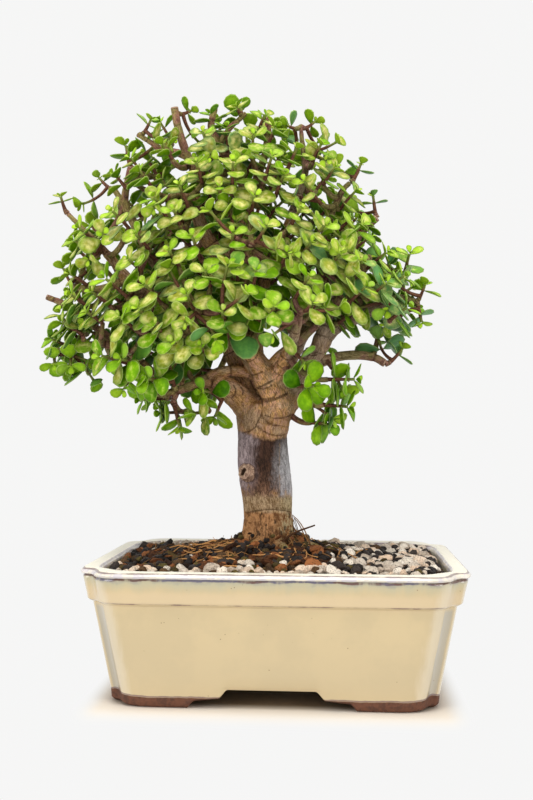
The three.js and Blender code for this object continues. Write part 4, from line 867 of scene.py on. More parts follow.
class Bark(Finish):
    """Bark in short fibres, with the patterns that its stretches share."""

    def __init__(self):
        super().__init__("jade_bark", Roughness=0.7, Specular_IOR_Level=0.15)
        grain = self.attribute("grain", "Vector")
        self.height = self.along("Z")
        self.across = self.along("X")
        self.fibre = self.noise(0.55, detail=4, roughness=0.68, vector=grain, stretch=(1, 1, 4))
        self.fine = self.noise(0.6, detail=4, roughness=0.75)
        self.streak = self.noise(2.2, detail=4, roughness=0.7, vector=grain, stretch=(1, 1, 3.5))
        self.cloud = self.noise(11, detail=4)
        self.blotch = self.noise(3.4, detail=5, roughness=0.62)
        self.fissure = self.rise(self.noise(2.6, vector=grain, stretch=(1, 1, 2.6)), 0.42, 0.34)
        self.side = self.across + self.blotch.sway(9) + self.cloud.sway(6)
        self.thread = self.rise(self.fibre * 0.5 + self.fine * 0.2 + self.streak * 0.3, 0.42, 0.58)
        self.rusty = self.rise(self.height + self.blotch.sway(3), *RUST_TOP)

    def shade_of(self, name):
        """One of the shades of bark, running from dark to light with the threads."""
        return self.mix(*BARK_SHADES[name], self.thread)

    def crown(self):
        """Tan and grey of the limbs and the trunk's crown, the crown brightened with painted light, shaded on
        the right.
        """
        colour = self.layers(self.shade_of("brown"), [
            (self.shade_of("rosy"), self.rise(self.streak * 0.5 + self.blotch * 0.5, 0.46, 0.56)),
            (self.shade_of("grey"), self.rise(self.cloud, 0.44, 0.62) * 0.7),
        ])
        # Painted light: the trunk's crown is painted brighter between about 147 and 208 mm, less so on its
        # left block
        bright = self.rise(self.height, 147, 156) * self.rise(self.height, 208, 190)
        bright = bright * (0.3 + self.rise(self.across, -18, -9) * 0.7)
        colour = self.shade(colour, 0.9 + bright * 0.58)
        right_limb = self.rise(self.side, 3, 7) * self.rise(self.height, 158, 165)
        return self.mix(colour, self.shade_of("shaded"), right_limb * 0.65)

    def shaft(self, colour):
        """Dark shaft of the trunk, purple-grey on its left and slate on its right, with tan veins."""
        ragged = self.height + self.blotch.sway(12)
        shaft = self.rise(self.height + self.blotch.sway(5) + abs(self.across + 4) * -0.25, *SHAFT_TOP)
        shaft = shaft * self.rise(ragged, *SHAFT_FOOT)
        left = self.rise(self.side, -10, -18.5) * self.rise(self.height + self.blotch.sway(18), 103, 117)
        right = self.rise(self.side, -5.5, 4.5) * self.rise(ragged, 98, 106)
        right = right * self.rise(self.height + self.blotch.sway(16.8), 141, 127)
        core = self.mix(self.shade_of("dull"), self.shade_of("core"), self.rise(ragged, 106, 122))
        # The slate is painted lighter towards the trunk's right edge: painted light
        slate = self.shade(self.shade_of("slate"), 0.95 + self.rise(self.side, 0, 8) * 0.3)
        colour = self.layers(colour, [
            (core, shaft * 0.97),
            (self.shade_of("purple"), shaft * left * 0.9),
            (slate, shaft * right * 0.9),
        ])
        for x, low, high in VEINS:
            vein = self.band(self.across + self.blotch.sway(3), x, 0.05, 0.4)
            vein = vein * self.band(self.height, (low + high) / 2, (high - low) / 2, 2)
            vein = vein * self.rise(self.fine, 0.35, 0.6)
            colour = self.mix(colour, (0.30, 0.17, 0.06), vein * shaft * 0.7)
        return colour

    def foot(self, colour):
        """Pale band under the shaft and rusty foot below it, both mossy on the right, with fissures."""
        moss = self.shade_of("moss")
        mossy = self.rise(self.side, -3, 5)
        rust = self.mix(*BARK_SHADES["rust"], self.rise(self.blotch * 0.6 + self.fibre * 0.4, 0.4, 0.58))
        rust = self.mix(rust, moss, mossy * self.rise(self.fibre * 0.5 + self.blotch * 0.5, 0.44, 0.56) * 0.9)
        return self.layers(colour, [
            (self.mix(self.shade_of("pale"), moss, mossy * 0.6),
             self.band(self.height + self.blotch.sway(4), PALE_BAND, 3, 3) * 0.85),
            (rust, self.rusty * 0.9),
            ((0.035, 0.018, 0.01), self.fissure * (0.08 + self.rusty * 0.75)),
        ])

    def young(self, colour):
        """Purple and olive of the young wood, the dark rings between segments, and painted shade in the
        crown's folds.
        """
        purple, olive = self.shade_of("purple_twig"), self.shade_of("olive_twig")
        twig = self.mix(purple, olive, self.rise(self.cloud, 0.4, 0.52))
        return self.layers(colour, [
            (twig, self.rise(self.attribute("youth"), 0.3, 0.85) * 0.85),
            # Dark rings between segments, and painted shade in the crown's folds
            ((0.06, 0.028, 0.012), self.rise(self.attribute("ring"), 0.2, 0.95) * 0.75),
        ])

    def cuts(self, colour):
        """Tan callus of old cuts with a painted shadow line round it, and the hollow in the largest, painted
        dark partly as painted shade.
        """
        callus = self.attribute("callus") + self.blotch.sway(0.3)
        hollow = self.attribute("scar") + self.fine.sway(0.2)
        return self.layers(colour, [
            (self.shade_of("tan"), self.rise(callus, 0.3, 0.7) * 0.95),
            # Painted shadow line round the callus
            ((0.07, 0.035, 0.022), self.band(callus, 0.34, 0.05, 0.2) * 0.6),
            ((0.62, 0.45, 0.32), self.band(hollow, 0.2, 0.05, 0.1) * 0.6),
            # The hollow painted nearly black: partly the dark wood inside it, partly painted shade
            ((0.035, 0.018, 0.008), self.rise(hollow, 0.28, 0.6)),
        ])


def bark_finish():
    bark = Bark()
    colour = bark.crown()
    for stretch in (bark.shaft, bark.foot, bark.young, bark.cuts):
        colour = stretch(colour)
    bark.paint(Base_Color=bark.shade(colour, 0.7 + bark.fine * 0.6))
    bark.bump(bark.fibre * 0.6 + bark.fine * 0.5 + bark.blotch * 0.4 - bark.fissure * bark.rusty * 0.6, 0.5)
    return bark.material


def leaf_finish():
    """Fleshy leaf, waxy and speckled, darker towards its pale rim and with painted shade on its underside, on
    a stem that is purple-brown below.
    """
    finish = Finish("jade_leaf", Specular_IOR_Level=0.07, Coat_Roughness=0.35)
    tone, rim, upper, woody, youth, cool, dust = (
        finish.attribute(name) for name in ("tone", "rim", "upper", "woody", "youth", "cool", "dust"))
    speck = finish.noise(0.9, detail=4, roughness=0.7)
    cloud = finish.noise(3.5)
    patch = finish.rise(cloud, 0.35, 0.65)
    deep, middling, dusty = (finish.mix(*shades, patch) for shades in LEAF_SHADES.values())
    edge = finish.rise(rim, 0.35, 0.85)
    cool = finish.rise(cool, 0.2, 0.7)
    # Dust, and painted light on the crown's top and front
    dust = finish.rise(dust + cloud.sway(1.3), 0.25, 0.85) * (1 - edge * 0.5)
    colour = finish.layers(deep, [
        (middling, finish.rise(tone, 0.0, 0.5)),
        (BRIGHT_LEAF, finish.rise(tone, 0.45, 1.1)),
        (COOL_LEAF, cool * 0.8),
        (dusty, dust * upper),
    ])
    colour = finish.shade(colour, (0.58 + speck * 0.5 + cloud * 0.6) * (1 - edge * 0.2))
    stem = finish.layers((0.095, 0.035, 0.028), [
        ((0.21, 0.095, 0.05), finish.rise(speck, 0.35, 0.65)),
        ((0.20, 0.25, 0.05), finish.rise(youth, 0.55, 0.95)),
    ])
    colour = finish.layers(colour, [
        # Painted shade: the leaf's underside is the upper side's colour made darker
        (finish.shade(colour, 0.7), 1 - upper),
        (LEAF_RIM, finish.rise(rim, 0.88, 1.0) * 0.6),
        (stem, woody),
    ])
    finish.paint(Base_Color=colour, Roughness=0.36 + speck * 0.16 + woody * 0.15,
                 Coat_Weight=(0.03 + cool * 0.5) * (1 - woody))
    finish.bump(speck + cloud * 0.5, 0.12)
    return finish.material


def distance_from(finish, rectangle, stretch):
    """Distance of a spot on the floor from a rectangle round the middle, stretched to the sides."""
    across = finish.vector("ABSOLUTE", finish.place, (0, 0, 0))
    beyond = finish.vector("MAXIMUM", finish.vector("SUBTRACT", across, (*rectangle, 0)), (0, 0, 0))
    beyond = finish.vector("MULTIPLY", beyond, (stretch, 1, 1))
    return finish.node("ShaderNodeVectorMath", {"operation": "LENGTH"}, {0: beyond}, outlet="Value")


def floor_finish():
    """Pale floor, with a painted shadow under the pot and painted warm light beside it, and as white as the
    backdrop further off.
    """
    finish = Finish("pale_floor", Roughness=0.6)
    distance = distance_from(finish, POT_ON_FLOOR, SIDEWAYS_STRETCH)
    finish.paint(Base_Color=finish.layers((0.84, 0.835, 0.81), [
        # Painted warm light thrown off the pot onto the floor beside it
        ((0.88, 0.80, 0.69), finish.rise(distance, 0.03, 0.0)),
        # Painted shadow under the pot
        ((0.22, 0.16, 0.10), finish.rise(distance_from(finish, PAINTED_SHADOW_UNDER_POT, 1), 0.014, 0.002)),
    ]))
    white = finish.node("ShaderNodeEmission", None, {"Color": (*BACKDROP, 1), "Strength": 1.0})
    own_colour = Value(finish, finish.shader.outputs[0])
    share = finish.rise(distance, 0.0, FLOOR_COLOUR_REACH)
    mixed = finish.node("ShaderNodeMixShader", None, {0: share, 1: own_colour, 2: white})
    finish.tree.links.new(mixed.socket, finish.tree.nodes["Material Output"].inputs["Surface"])
    return finish.material


# Pot

def pot_corner(middle_x, middle_y, level):
    """Points of the outline round one corner, from the front or back edge to the side edge."""
    _, width, depth, corner_x, corner_y, notch, rounding = level
    sharp = np.array([
        [middle_x * (width - corner_x), middle_y * depth],
        [middle_x * (width - corner_x * notch * NOTCH_SLANT), middle_y * (depth - corner_y * notch)],
        [middle_x * width, middle_y * (depth - corner_y)],
    ])
    around = [sharp[0] - [middle_x * 2 * CORNER_FADE, 0], *sharp, sharp[2] - [0, middle_y * 2 * CORNER_FADE]]
    points = []
    for before, corner, after in zip(around, around[1:], around[2:]):
        ends = []
        for other in (before, after):
            length = np.linalg.norm(other - corner)
            ends.append(corner + (other - corner) * min(rounding * CORNER_SOFTNESS, length * 0.5) / length)
        points.extend(bezier(ends[0], corner, ends[1], np.linspace(0, 1, CORNER_POINTS)))
    return points


def pot_outline(level, inset=0.0):
    """Outline of the pot at one level, running anticlockwise seen from above."""
    level = np.array(level, dtype=float)
    level[1:3] -= inset
    front = [-x for x in FRONT_COLUMNS[:0:-1]] + FRONT_COLUMNS
    side = [-y for y in SIDE_COLUMNS[:0:-1]] + SIDE_COLUMNS
    points = [[x, -level[2]] for x in front]
    points += pot_corner(1, -1, level)
    points += [[level[1], y] for y in side]
    points += pot_corner(1, 1, level)[::-1]
    points += [[-x, level[2]] for x in front]
    points += pot_corner(-1, 1, level)
    points += [[-level[1], -y] for y in side]
    points += pot_corner(-1, -1, level)[::-1]
    return np.array(points)


def corner_share():
    """How deep in a corner's notch each point of an outline lies: 0 on the faces and 1 in the hollow."""
    front = np.zeros(2 * len(FRONT_COLUMNS) - 1)
    side = np.zeros(2 * len(SIDE_COLUMNS) - 1)
    corner = 1 - np.abs(np.linspace(-1, 1, 3 * CORNER_POINTS))
    return np.concatenate([front, corner, side, corner] * 2)


def opening_height(outline, level):
    """Height of the foot's lower edge at each point of an outline."""
    heights = np.zeros(len(outline))
    on_front = np.abs(np.abs(outline[:, 1]) - level[2]) < 1e-6
    on_side = np.abs(np.abs(outline[:, 0]) - level[1]) < 1e-6
    front = np.interp(np.abs(outline[:, 0]), *FRONT_OPENING.T)
    side = np.interp(np.abs(outline[:, 1]), *SIDE_OPENING.T)
    heights[on_front] = front[on_front]
    heights[on_side] = side[on_side]
    return heights


def outside_level(height):
    return np.array([np.interp(height, POT_OUTSIDE[:, 0], column) for column in POT_OUTSIDE.T])


def pot_rings():
    """Rings of the pot's wall, from under the floor, round the feet, up, over the rim and down inside, with
    how thin the glaze is on each and how much it pools there."""
    foot = outside_level(0)
    under = opening_height(pot_outline(foot), foot)
    recess = pot_outline(foot, FOOT_WALL)
    rings = [
        (recess, RECESS_CEILING, 0, 0),
        (recess, np.minimum(under + FOOT_CHAMFER, RECESS_CEILING - 0.1), 0, 0),
        (pot_outline(foot, FOOT_WALL - FOOT_CHAMFER), under, 0, 0),
        (pot_outline(foot, FOOT_CHAMFER), under, 0, 0),
    ]
    for height, proud, thin, pool in OUTER_LEVELS:
        lift = under * max(0, 1 - height / FOOT_BLEND)
        rings.append((pot_outline(outside_level(height), -proud), height + lift, thin, pool))
    rim = outside_level(70)
    for height, width, depth, thin, pool in INNER_LEVELS:
        corner = rim[3:] + (CAVITY[1, 3:] - rim[3:]) * smooth(RIM_OUTSIDE, RIM_INSIDE, width)
        rings.append((pot_outline([height, width, depth, *corner]), height, thin, pool))
    outlines, heights, thinness, pooling = zip(*rings)
    placed = [np.column_stack([outline, np.broadcast_to(height, len(outline))])
              for outline, height in zip(outlines, heights)]
    return placed, thinness, pooling


def make_pot(finish):
    """One closed wall, with a drain hole through its floor on either side."""
    rings, thinness, pooling = pot_rings()
    per_ring = len(rings[0])
    points, faces = loft(rings, [0, 0, RECESS_CEILING], [0, 0, FLOOR_TOP])
    pot = link_mesh("pot_body", points, faces)
    add_values(pot, {
        "thinness": [0, *np.repeat(thinness, per_ring), 0],
        "pooling": [0, *np.repeat(pooling, per_ring), 0],
        "notch": [0, *np.tile(corner_share(), len(rings)), 0],
    })
    for x in (-DRAIN_X, DRAIN_X):
        drill_drain(pot, x)
    return settle(pot, finish, "glaze", "pot", smooth_angle=math.radians(40))


def drill_drain(pot, x):
    """Cuts a drain hole down through the floor of the pot."""
    place = Vector((x, 0, FLOOR_TOP - 4)) * MM + Vector(POT_MIDDLE)
    drill = add_primitive(bpy.ops.mesh.primitive_cylinder_add, vertices=40, radius=DRAIN_RADIUS * MM,
                          depth=20 * MM, location=place)
    apply_modifier(pot, "BOOLEAN", operation="DIFFERENCE", solver="EXACT", object=drill)
    bpy.data.objects.remove(drill)


def make_screen(x, name, node, finish):
    """Square of fine mesh that keeps the soil in over a drain hole."""
    place = Vector((x, 0, FLOOR_TOP + GAP + SCREEN_THICKNESS / 2)) * MM + Vector(POT_MIDDLE)
    side = (SCREEN_SIDE - SCREEN_THICKNESS) * MM
    screen = add_primitive(bpy.ops.mesh.primitive_grid_add, x_subdivisions=SCREEN_WIRES,
                           y_subdivisions=SCREEN_WIRES, size=side, location=place)
    screen.name = name
    bpy.ops.object.transform_apply(location=True, rotation=True, scale=True)
    apply_modifier(screen, "WIREFRAME", thickness=SCREEN_THICKNESS * MM, use_even_offset=True)
    apply_modifier(screen, "BEVEL", width=0.2 * MM, segments=1)
    return settle(screen, finish, "drain_mesh", node, smooth_angle=math.radians(50))


# Soil

def soil_height(x, y):
    """Height of the soil: a low mound round the trunk, with small waves."""
    mound = np.exp(-(((x - MOUND_MIDDLE) / MOUND_SPREAD[0]) ** 2 + (y / MOUND_SPREAD[1]) ** 2) / 2)
    waves = 0.9 * np.sin(x * 0.13 + 1.3) * np.cos(y * 0.17) + 0.5 * np.sin(x * 0.31 + y * 0.23)
    return SOIL_EDGE_HEIGHT + MOUND_HEIGHT * mound + waves


def cavity_level(height):
    share = (height - CAVITY[0, 0]) / (CAVITY[1, 0] - CAVITY[0, 0])
    return CAVITY[0] + (CAVITY[1] - CAVITY[0]) * share


def make_soil(finish):
    edge = pot_outline(cavity_level(SOIL_EDGE_HEIGHT - 2.2), SOIL_GAP)
    floor = pot_outline(cavity_level(SOIL_BOTTOM), SOIL_GAP)
    rings = [
        np.column_stack([floor, np.full(len(floor), SOIL_BOTTOM)]),
        np.column_stack([edge, np.full(len(edge), SOIL_EDGE_HEIGHT - 3)]),
    ]
    for share in np.linspace(0.995, 0.03, SOIL_RINGS):
        flat = edge * share
        crumbs = [noise.noise(Vector((x * 0.45, y * 0.45, 0))) + 0.6 * noise.noise(Vector((x, y, 5)))
                  for x, y in flat]
        rings.append(np.column_stack([flat, soil_height(*flat.T) - 1.2 + np.array(crumbs)]))
    points, faces = loft(rings, [0, 0, SOIL_BOTTOM], [0, 0, soil_height(0, 0) - 1])
    return settle(link_mesh("soil_bed", points, faces), finish, "soil", "soil")


def stone_shapes(count, seed, flatness):
    """Angular stones, each a ball of a few dozen faces that is cut flat here and there."""
    points, faces = primitive_shape(bpy.ops.mesh.primitive_ico_sphere_add, subdivisions=2, radius=1)
    random = np.random.default_rng(seed)
    shapes = []
    for _ in range(count):
        stone = points * random.uniform(0.75, 1.25, 3) * [1, 1, flatness]
        for _ in range(9):
            facing = unit(random.normal(size=3))
            beyond = stone @ facing - random.uniform(0.5, 0.85)
            stone = stone - np.outer(np.maximum(beyond, 0) * 0.9, facing)
        stone += 0.05 * random.normal(size=stone.shape)
        shapes.append(stone)
    return shapes, faces


def turned(points, random):
    """Points turned by chance about every axis, and most about the upright one."""
    spin = Matrix.Rotation(random.uniform(0, 2 * math.pi), 3, "Z")
    tip = Matrix.Rotation(random.normal() * 0.5, 3, "X") @ Matrix.Rotation(random.normal() * 0.5, 3, "Y")
    return points @ np.array(spin @ tip).T


def soil_kind(x, y, draw):
    """Which kind of lump lies at a place: pumice near the front edge and on the right, bark to the left."""
    front = smooth(-50, -57, y)
    right = smooth(15, 50, x)
    pumice = 0.04 + 0.66 * front + 0.34 * right * (1 - front) + 0.2 * smooth(40, 58, y)
    lava = 0.36 * (1 - front) + 0.2 * right
    if draw < pumice:
        return "pumice"
    if draw < pumice + lava:
        return "lava"
    return "clod" if draw < pumice + lava + 0.3 else "bark_chip"


def lump_shape(shapes, size, random):
    """One of a kind's shapes, by chance, at a size and turned."""
    return turned(shapes[random.integers(len(shapes))] * size, random)


def strew_lumps(heaps, shapes, random):
    """Lumps in staggered rows over all of the soil, each of a kind that suits its place."""
    edge = cavity_level(SOIL_EDGE_HEIGHT)
    wide, deep = LUMP_FIELD
    for row, y_row in enumerate(np.arange(-deep, deep + 1, LUMP_ROW_PITCH)):
        for x_row in np.arange(-wide, wide + 1, LUMP_PITCH):
            x = x_row + LUMP_PITCH * (0.5 * (row % 2) + random.uniform(-LUMP_SCATTER, LUMP_SCATTER))
            y = y_row + LUMP_PITCH * random.uniform(-LUMP_SCATTER, LUMP_SCATTER)
            draw, tone, warmth, size_draw, sink = random.uniform(size=5)
            kind = soil_kind(x, y, draw)
            least, most = LUMPS[kind]["sizes"]
            size = least + (most - least) * size_draw ** 1.6
            shape = lump_shape(shapes[kind][0], size, random)
            over_edge = abs(x) + size * 0.8 > edge[1] - 1 or abs(y) + size * 0.8 > edge[2] - 1
            in_corner = abs(x) / edge[1] + abs(y) / edge[2] > 1.74
            in_trunk = np.hypot(x - FOOT_X, y) < FOOT_RADIUS - 1
            if over_edge or in_corner or in_trunk:
                continue
            height = soil_height(x, y) + size * (0.15 - 0.4 * sink)
            heaps[kind].add(shape + [x, y, height], shapes[kind][1], tone=tone, warmth=warmth)


def heap_lumps(heaps, shapes, random):
    """Small dark lumps heaped round the foot of the trunk, most of them on its left and right."""
    least = FOOT_RADIUS + 0.5
    for number in range(HEAPED_LUMPS):
        angle = random.normal() * 1.1 + (math.pi * 1.06 if number % 2 else -0.35)
        out = least + HEAP_WIDTH * random.uniform() ** 1.3
        x, y = FOOT_X + out * math.cos(angle), out * math.sin(angle)
        kind = HEAPED_KINDS[int(len(HEAPED_KINDS) * random.uniform())]
        size = random.uniform(*HEAPED_SIZES)
        height = soil_height(x, y) + random.uniform(-1, 7) * math.exp(-((out - least) / 9) ** 2)
        shape = lump_shape(shapes[kind][0], size, random)
        tone, warmth = random.uniform(size=2)
        heaps[kind].add(shape + [x, y, height], shapes[kind][1], tone=tone, warmth=warmth)


def make_stones():
    """Lumps of every kind, strewn over the soil and heaped round the trunk, a piece for each kind."""
    random = np.random.default_rng(7)
    shapes = {kind: stone_shapes(*look["shapes"]) for kind, look in LUMPS.items()}
    heaps = {kind: Heap() for kind in LUMPS}
    strew_lumps(heaps, shapes, random)
    heap_lumps(heaps, shapes, random)
    for kind, heap in heaps.items():
        settle(heap.build(kind), stone_finish(*LUMPS[kind]["finish"]), "soil", smooth_angle=math.radians(38))


def add_fibres(heap, random):
    """Fibres that lie over the soil, a third of them close round the trunk."""
    for i in range(FIBRE_COUNT):
        spread = (16, 12) if i % 3 == 0 else (38, 30)
        x, y = random.normal(size=2) * spread + (FOOT_X - 8, -6)
        if abs(x) > FIBRE_FIELD[0] or abs(y) > FIBRE_FIELD[1]:
            continue
        length = random.uniform(*FIBRE_LENGTHS)
        heading = random.uniform(0, 2 * math.pi)
        radius = random.uniform(*FIBRE_RADII)
        steps = FIBRE_POINTS - 1
        line = []
        for step in range(FIBRE_POINTS):
            heading += random.normal() * 0.35
            lift = 0.9 + 1.6 * abs(random.normal()) * (step / steps)
            line.append([x, y, soil_height(x, y) + lift])
            x += math.cos(heading) * length / steps
            y += math.sin(heading) * length / steps
        heap.add(*tube(line, np.linspace(radius, radius * 0.4, FIBRE_POINTS), 4), tone=random.uniform())


def add_rootlets(heap, random):
    """Fine roots that hang from the trunk down to the soil on its right."""
    for _ in range(ROOTLET_COUNT):
        angle = random.normal() * 0.4 - 0.2
        out = random.uniform(*ROOTLET_REACH)
        heading = np.array([math.cos(angle), math.sin(angle), 0])
        foot = np.array([ROOTLET_X, 0, 0]) + heading * out
        start = foot - heading * 1.8 + [0, 0, 78 + 16 * random.uniform() ** 2]
        end = foot + heading * random.uniform(-1, 4) + [*(random.normal(size=2) * 3), 0]
        end[2] = soil_height(end[0], end[1]) + 0.5
        bow = (start + end) / 2 + heading * 2 + random.normal(size=3) * 3
        line = bezier(start, bow, end, np.linspace(0, 1, FIBRE_POINTS))
        heap.add(*tube(line, np.linspace(0.22, 0.42, FIBRE_POINTS), 4), tone=0.75 * random.uniform())


def make_fibres(finish):
    random = np.random.default_rng(21)
    heap = Heap()
    add_fibres(heap, random)
    add_rootlets(heap, random)
    line = eased([[*place, 0] for place in TWIG], 2)
    heap.add(*tube(line, np.linspace(0.8, 0.45, len(line)), 5), tone=0.1)
    return settle(heap.build("root_fibres"), finish, "soil")


# Wood

def trunk_rings():
    """Trunk outline at close levels: a rounded section with shallow flutes, deeper in the root flare."""
    rings = []
    for x, _, z, radius in eased(TRUNK_LINE, 1.5):
        angles = np.linspace(0, 2 * math.pi, TRUNK_SIDES, endpoint=False)
        flute = ROOT_FLUTE + (FLUTE - ROOT_FLUTE) * smooth(ROOT_FLUTE_TOP - 6, ROOT_FLUTE_TOP + 4, z)
        reach = radius * (1 + flute * np.cos(5 * angles + 0.6 + z * 0.012))
        rings.append(np.column_stack([
            x + reach * np.cos(angles), TRUNK_DEPTH_RATIO * reach * np.sin(angles), np.full(TRUNK_SIDES, z)]))
    return rings


def root_lines():
    """Lines of the surface roots, from inside the trunk out and down into the soil."""
    lines = []
    for degrees, reach, radius in ROOTS:
        angle = math.radians(degrees)
        course = ((8, 80, 1.4), (16, 77.5, 1.2), (reach * 0.75, 76, 1), (reach, 73.5, 0.5))
        lines.append(eased([
            [FOOT_X + distance * math.cos(angle), distance * math.sin(angle), height, radius * width]
            for distance, height, width in course
        ], 1.5))
    return lines


def nearest_on_limbs(tip):
    """Nearest point on the limbs to a shoot's tip, how far it is, and the limb's radius there."""
    best = None
    for path in LIMB_PATHS.values():
        for before, after in zip(path, path[1:]):
            for share in (0.25, 0.5, 0.75, 1):
                point = before + (after - before) * share
                distance = np.linalg.norm(point[:3] - tip)
                if best is None or distance < best[1]:
                    best = (point[:3], distance, point[3])
    return best


def shoot_path(tip):
    """Way from the limb to a tip: the woody branch first, and the leafy shoot as its last stretch. It turns
    up at its end where the tip is above the limb."""
    point, distance, radius = nearest_on_limbs(tip)
    lift = RISING_LIFT if tip[2] > point[2] else HANGING_LIFT
    bend = (point + tip) / 2 + [0, 0, lift * distance]
    split = max(1 - SHOOT_LENGTH / distance, min(0.5, (radius + 2) / distance))
    shares = (0, split / 2, split, (1 + split) / 2)
    return *(bezier(point, bend, tip, share) for share in shares), tip


def segment_marks(length, radius, seed):
    """Places of the rings round a limb, where each segment of its growth ends."""
    random = np.random.default_rng(seed)
    marks = [radius]
    while marks[-1] < length:
        marks.append(marks[-1] + (4.5 + 1.1 * radius) * random.uniform(0.65, 1.35))
    return np.array(marks)


def ring_shape(along, marks):
    """How far the bark stands out along a limb, as a share of a millimetre, and how deep it is in a ring."""
    after = np.clip(np.searchsorted(marks, along), 1, len(marks) - 1)
    below = along - marks[after - 1]
    above = marks[after] - along
    share = np.clip(below / np.maximum(below + above, 1e-6), 0, 1)
    near = np.minimum(np.abs(below), np.abs(above))
    groove = np.exp(-(near / 0.55) ** 2)
    return 0.9 * share ** 2 - 0.8 * groove, groove


def path_lengths(line):
    steps = np.linalg.norm(np.diff(line[:, :3], axis=0), axis=1)
    return np.concatenate([[0], np.cumsum(steps)])


def make_wood(finish, branches):
    """Trunk, roots and thick limbs fused into one skin, and the thinner limbs and branches as tubes
    sunk into it."""
    rings = trunk_rings()
    heap = Heap()
    heap.add(*loft(rings, rings[0].mean(0), rings[-1].mean(0)))
    lines = [TRUNK_LINE]
    for line in root_lines():
        heap.add(*tube(line, line[:, 3], 10))
        lines.append(line)
    thin = []
    for path in LIMB_PATHS.values():
        line = eased(path, 1.6)
        if path[0, 3] < FUSED_LIMB_RADIUS:
            thin.append(line)
            continue
        lines.append(line)
        heap.add(*tube(line, line[:, 3], 14))
    heap.add(*callus_ring())
    heap.add(*callus_middle())
    trunk = heap.build("trunk_and_thick_limbs")
    apply_modifier(trunk, "REMESH", mode="VOXEL", voxel_size=FINE_WOOD * MM)
    apply_modifier(trunk, "SMOOTH", factor=0.6, iterations=4)
    carve_bark(trunk, lines)
    settle(trunk, finish, "bark", "trunk_and_limbs")
    twigs = Heap()
    for seed, line in enumerate(thin):
        add_twig(twigs, line, seed + 40, 10)
    for seed, line in enumerate(branches):
        add_twig(twigs, line, seed + 140, 6)
    settle(twigs.build("thin_limbs_and_branches"), finish, "bark")


def scar_frame():
    """Directions of the old cut: out of it, level across it and up it."""
    facing = unit(SCAR_FACING)
    level = unit(np.cross([0, 0, 1.0], facing))
    return facing, level, np.cross(facing, level)


def callus_ring():
    """Swollen ring of bark that has grown round an old cut."""
    facing, level, steep = scar_frame()
    spokes, sides = 24, 10
    points = []
    for angle in np.linspace(0, 2 * math.pi, spokes, endpoint=False):
        spoke = level * math.cos(angle) * SCAR_SPREAD[0] + steep * math.sin(angle) * SCAR_SPREAD[1]
        swell = 1.9 + 0.6 * math.cos(angle + 0.5) + 0.3 * math.sin(3 * angle + 1)
        for turn in np.linspace(0, 2 * math.pi, sides, endpoint=False):
            points.append(SCAR_CENTRE + spoke * (SCAR_RADIUS + swell * 0.8 * math.cos(turn))
                          + facing * (swell * math.sin(turn) - 0.4))
    faces = []
    for spoke in range(spokes):
        for side in range(sides):
            here, after = spoke * sides, (spoke + 1) % spokes * sides
            beside = (side + 1) % sides
            faces.append([here + side, after + side, after + beside, here + beside])
    return np.array(points), faces


def callus_middle():
    """Wood that closes the old cut, a little lower than the ring round it."""
    facing, level, steep = scar_frame()
    angles = np.linspace(0, 2 * math.pi, 20, endpoint=False)[:, None]
    circle = level * np.cos(angles) * SCAR_SPREAD[0] + steep * np.sin(angles) * SCAR_SPREAD[1]
    rings = [SCAR_CENTRE + circle * SCAR_RADIUS * share + facing * depth
             for share, depth in ((1.1, -4), (1.1, 0.2), (0.5, 0.7))]
    return loft(rings, SCAR_CENTRE - facing * 4, SCAR_CENTRE + facing * 0.8)


def add_twig(heap, line, seed, sides):
    """Tube with rings in its bark, for a limb too thin to be fused."""
    def at_points(numbers):
        return np.concatenate([numbers[:1], np.repeat(numbers, sides), numbers[-1:]])

    length = path_lengths(line)
    raised, groove = ring_shape(length, segment_marks(length[-1], line[0, 3], seed))
    points, faces = tube(line, line[:, 3] * (1 + 0.07 * raised), sides)
    angles = np.tile(np.arange(sides) * 2 * math.pi / sides, len(line))
    radius = np.repeat(line[:, 3], sides)
    grain = np.column_stack([radius * np.cos(angles), radius * np.sin(angles), np.repeat(length, sides)])
    grain = np.concatenate([grain[:1], grain, grain[-1:]]) + seed * 37
    youth = smooth(*YOUNG_RADII, line[:, 3])
    cut = np.zeros(len(line))
    cut[-1] = line[-1, 3] > BRANCH_RADIUS
    heap.add(points, faces, grain=grain, ring=at_points(groove), youth=at_points(youth), scar=0.0,
             callus=at_points(cut))


def segment_share(points, start, step):
    """How far along a straight stretch the spot nearest to each point is, from 0 to 1."""
    return np.clip((points - start) @ step / (step @ step), 0, 1)


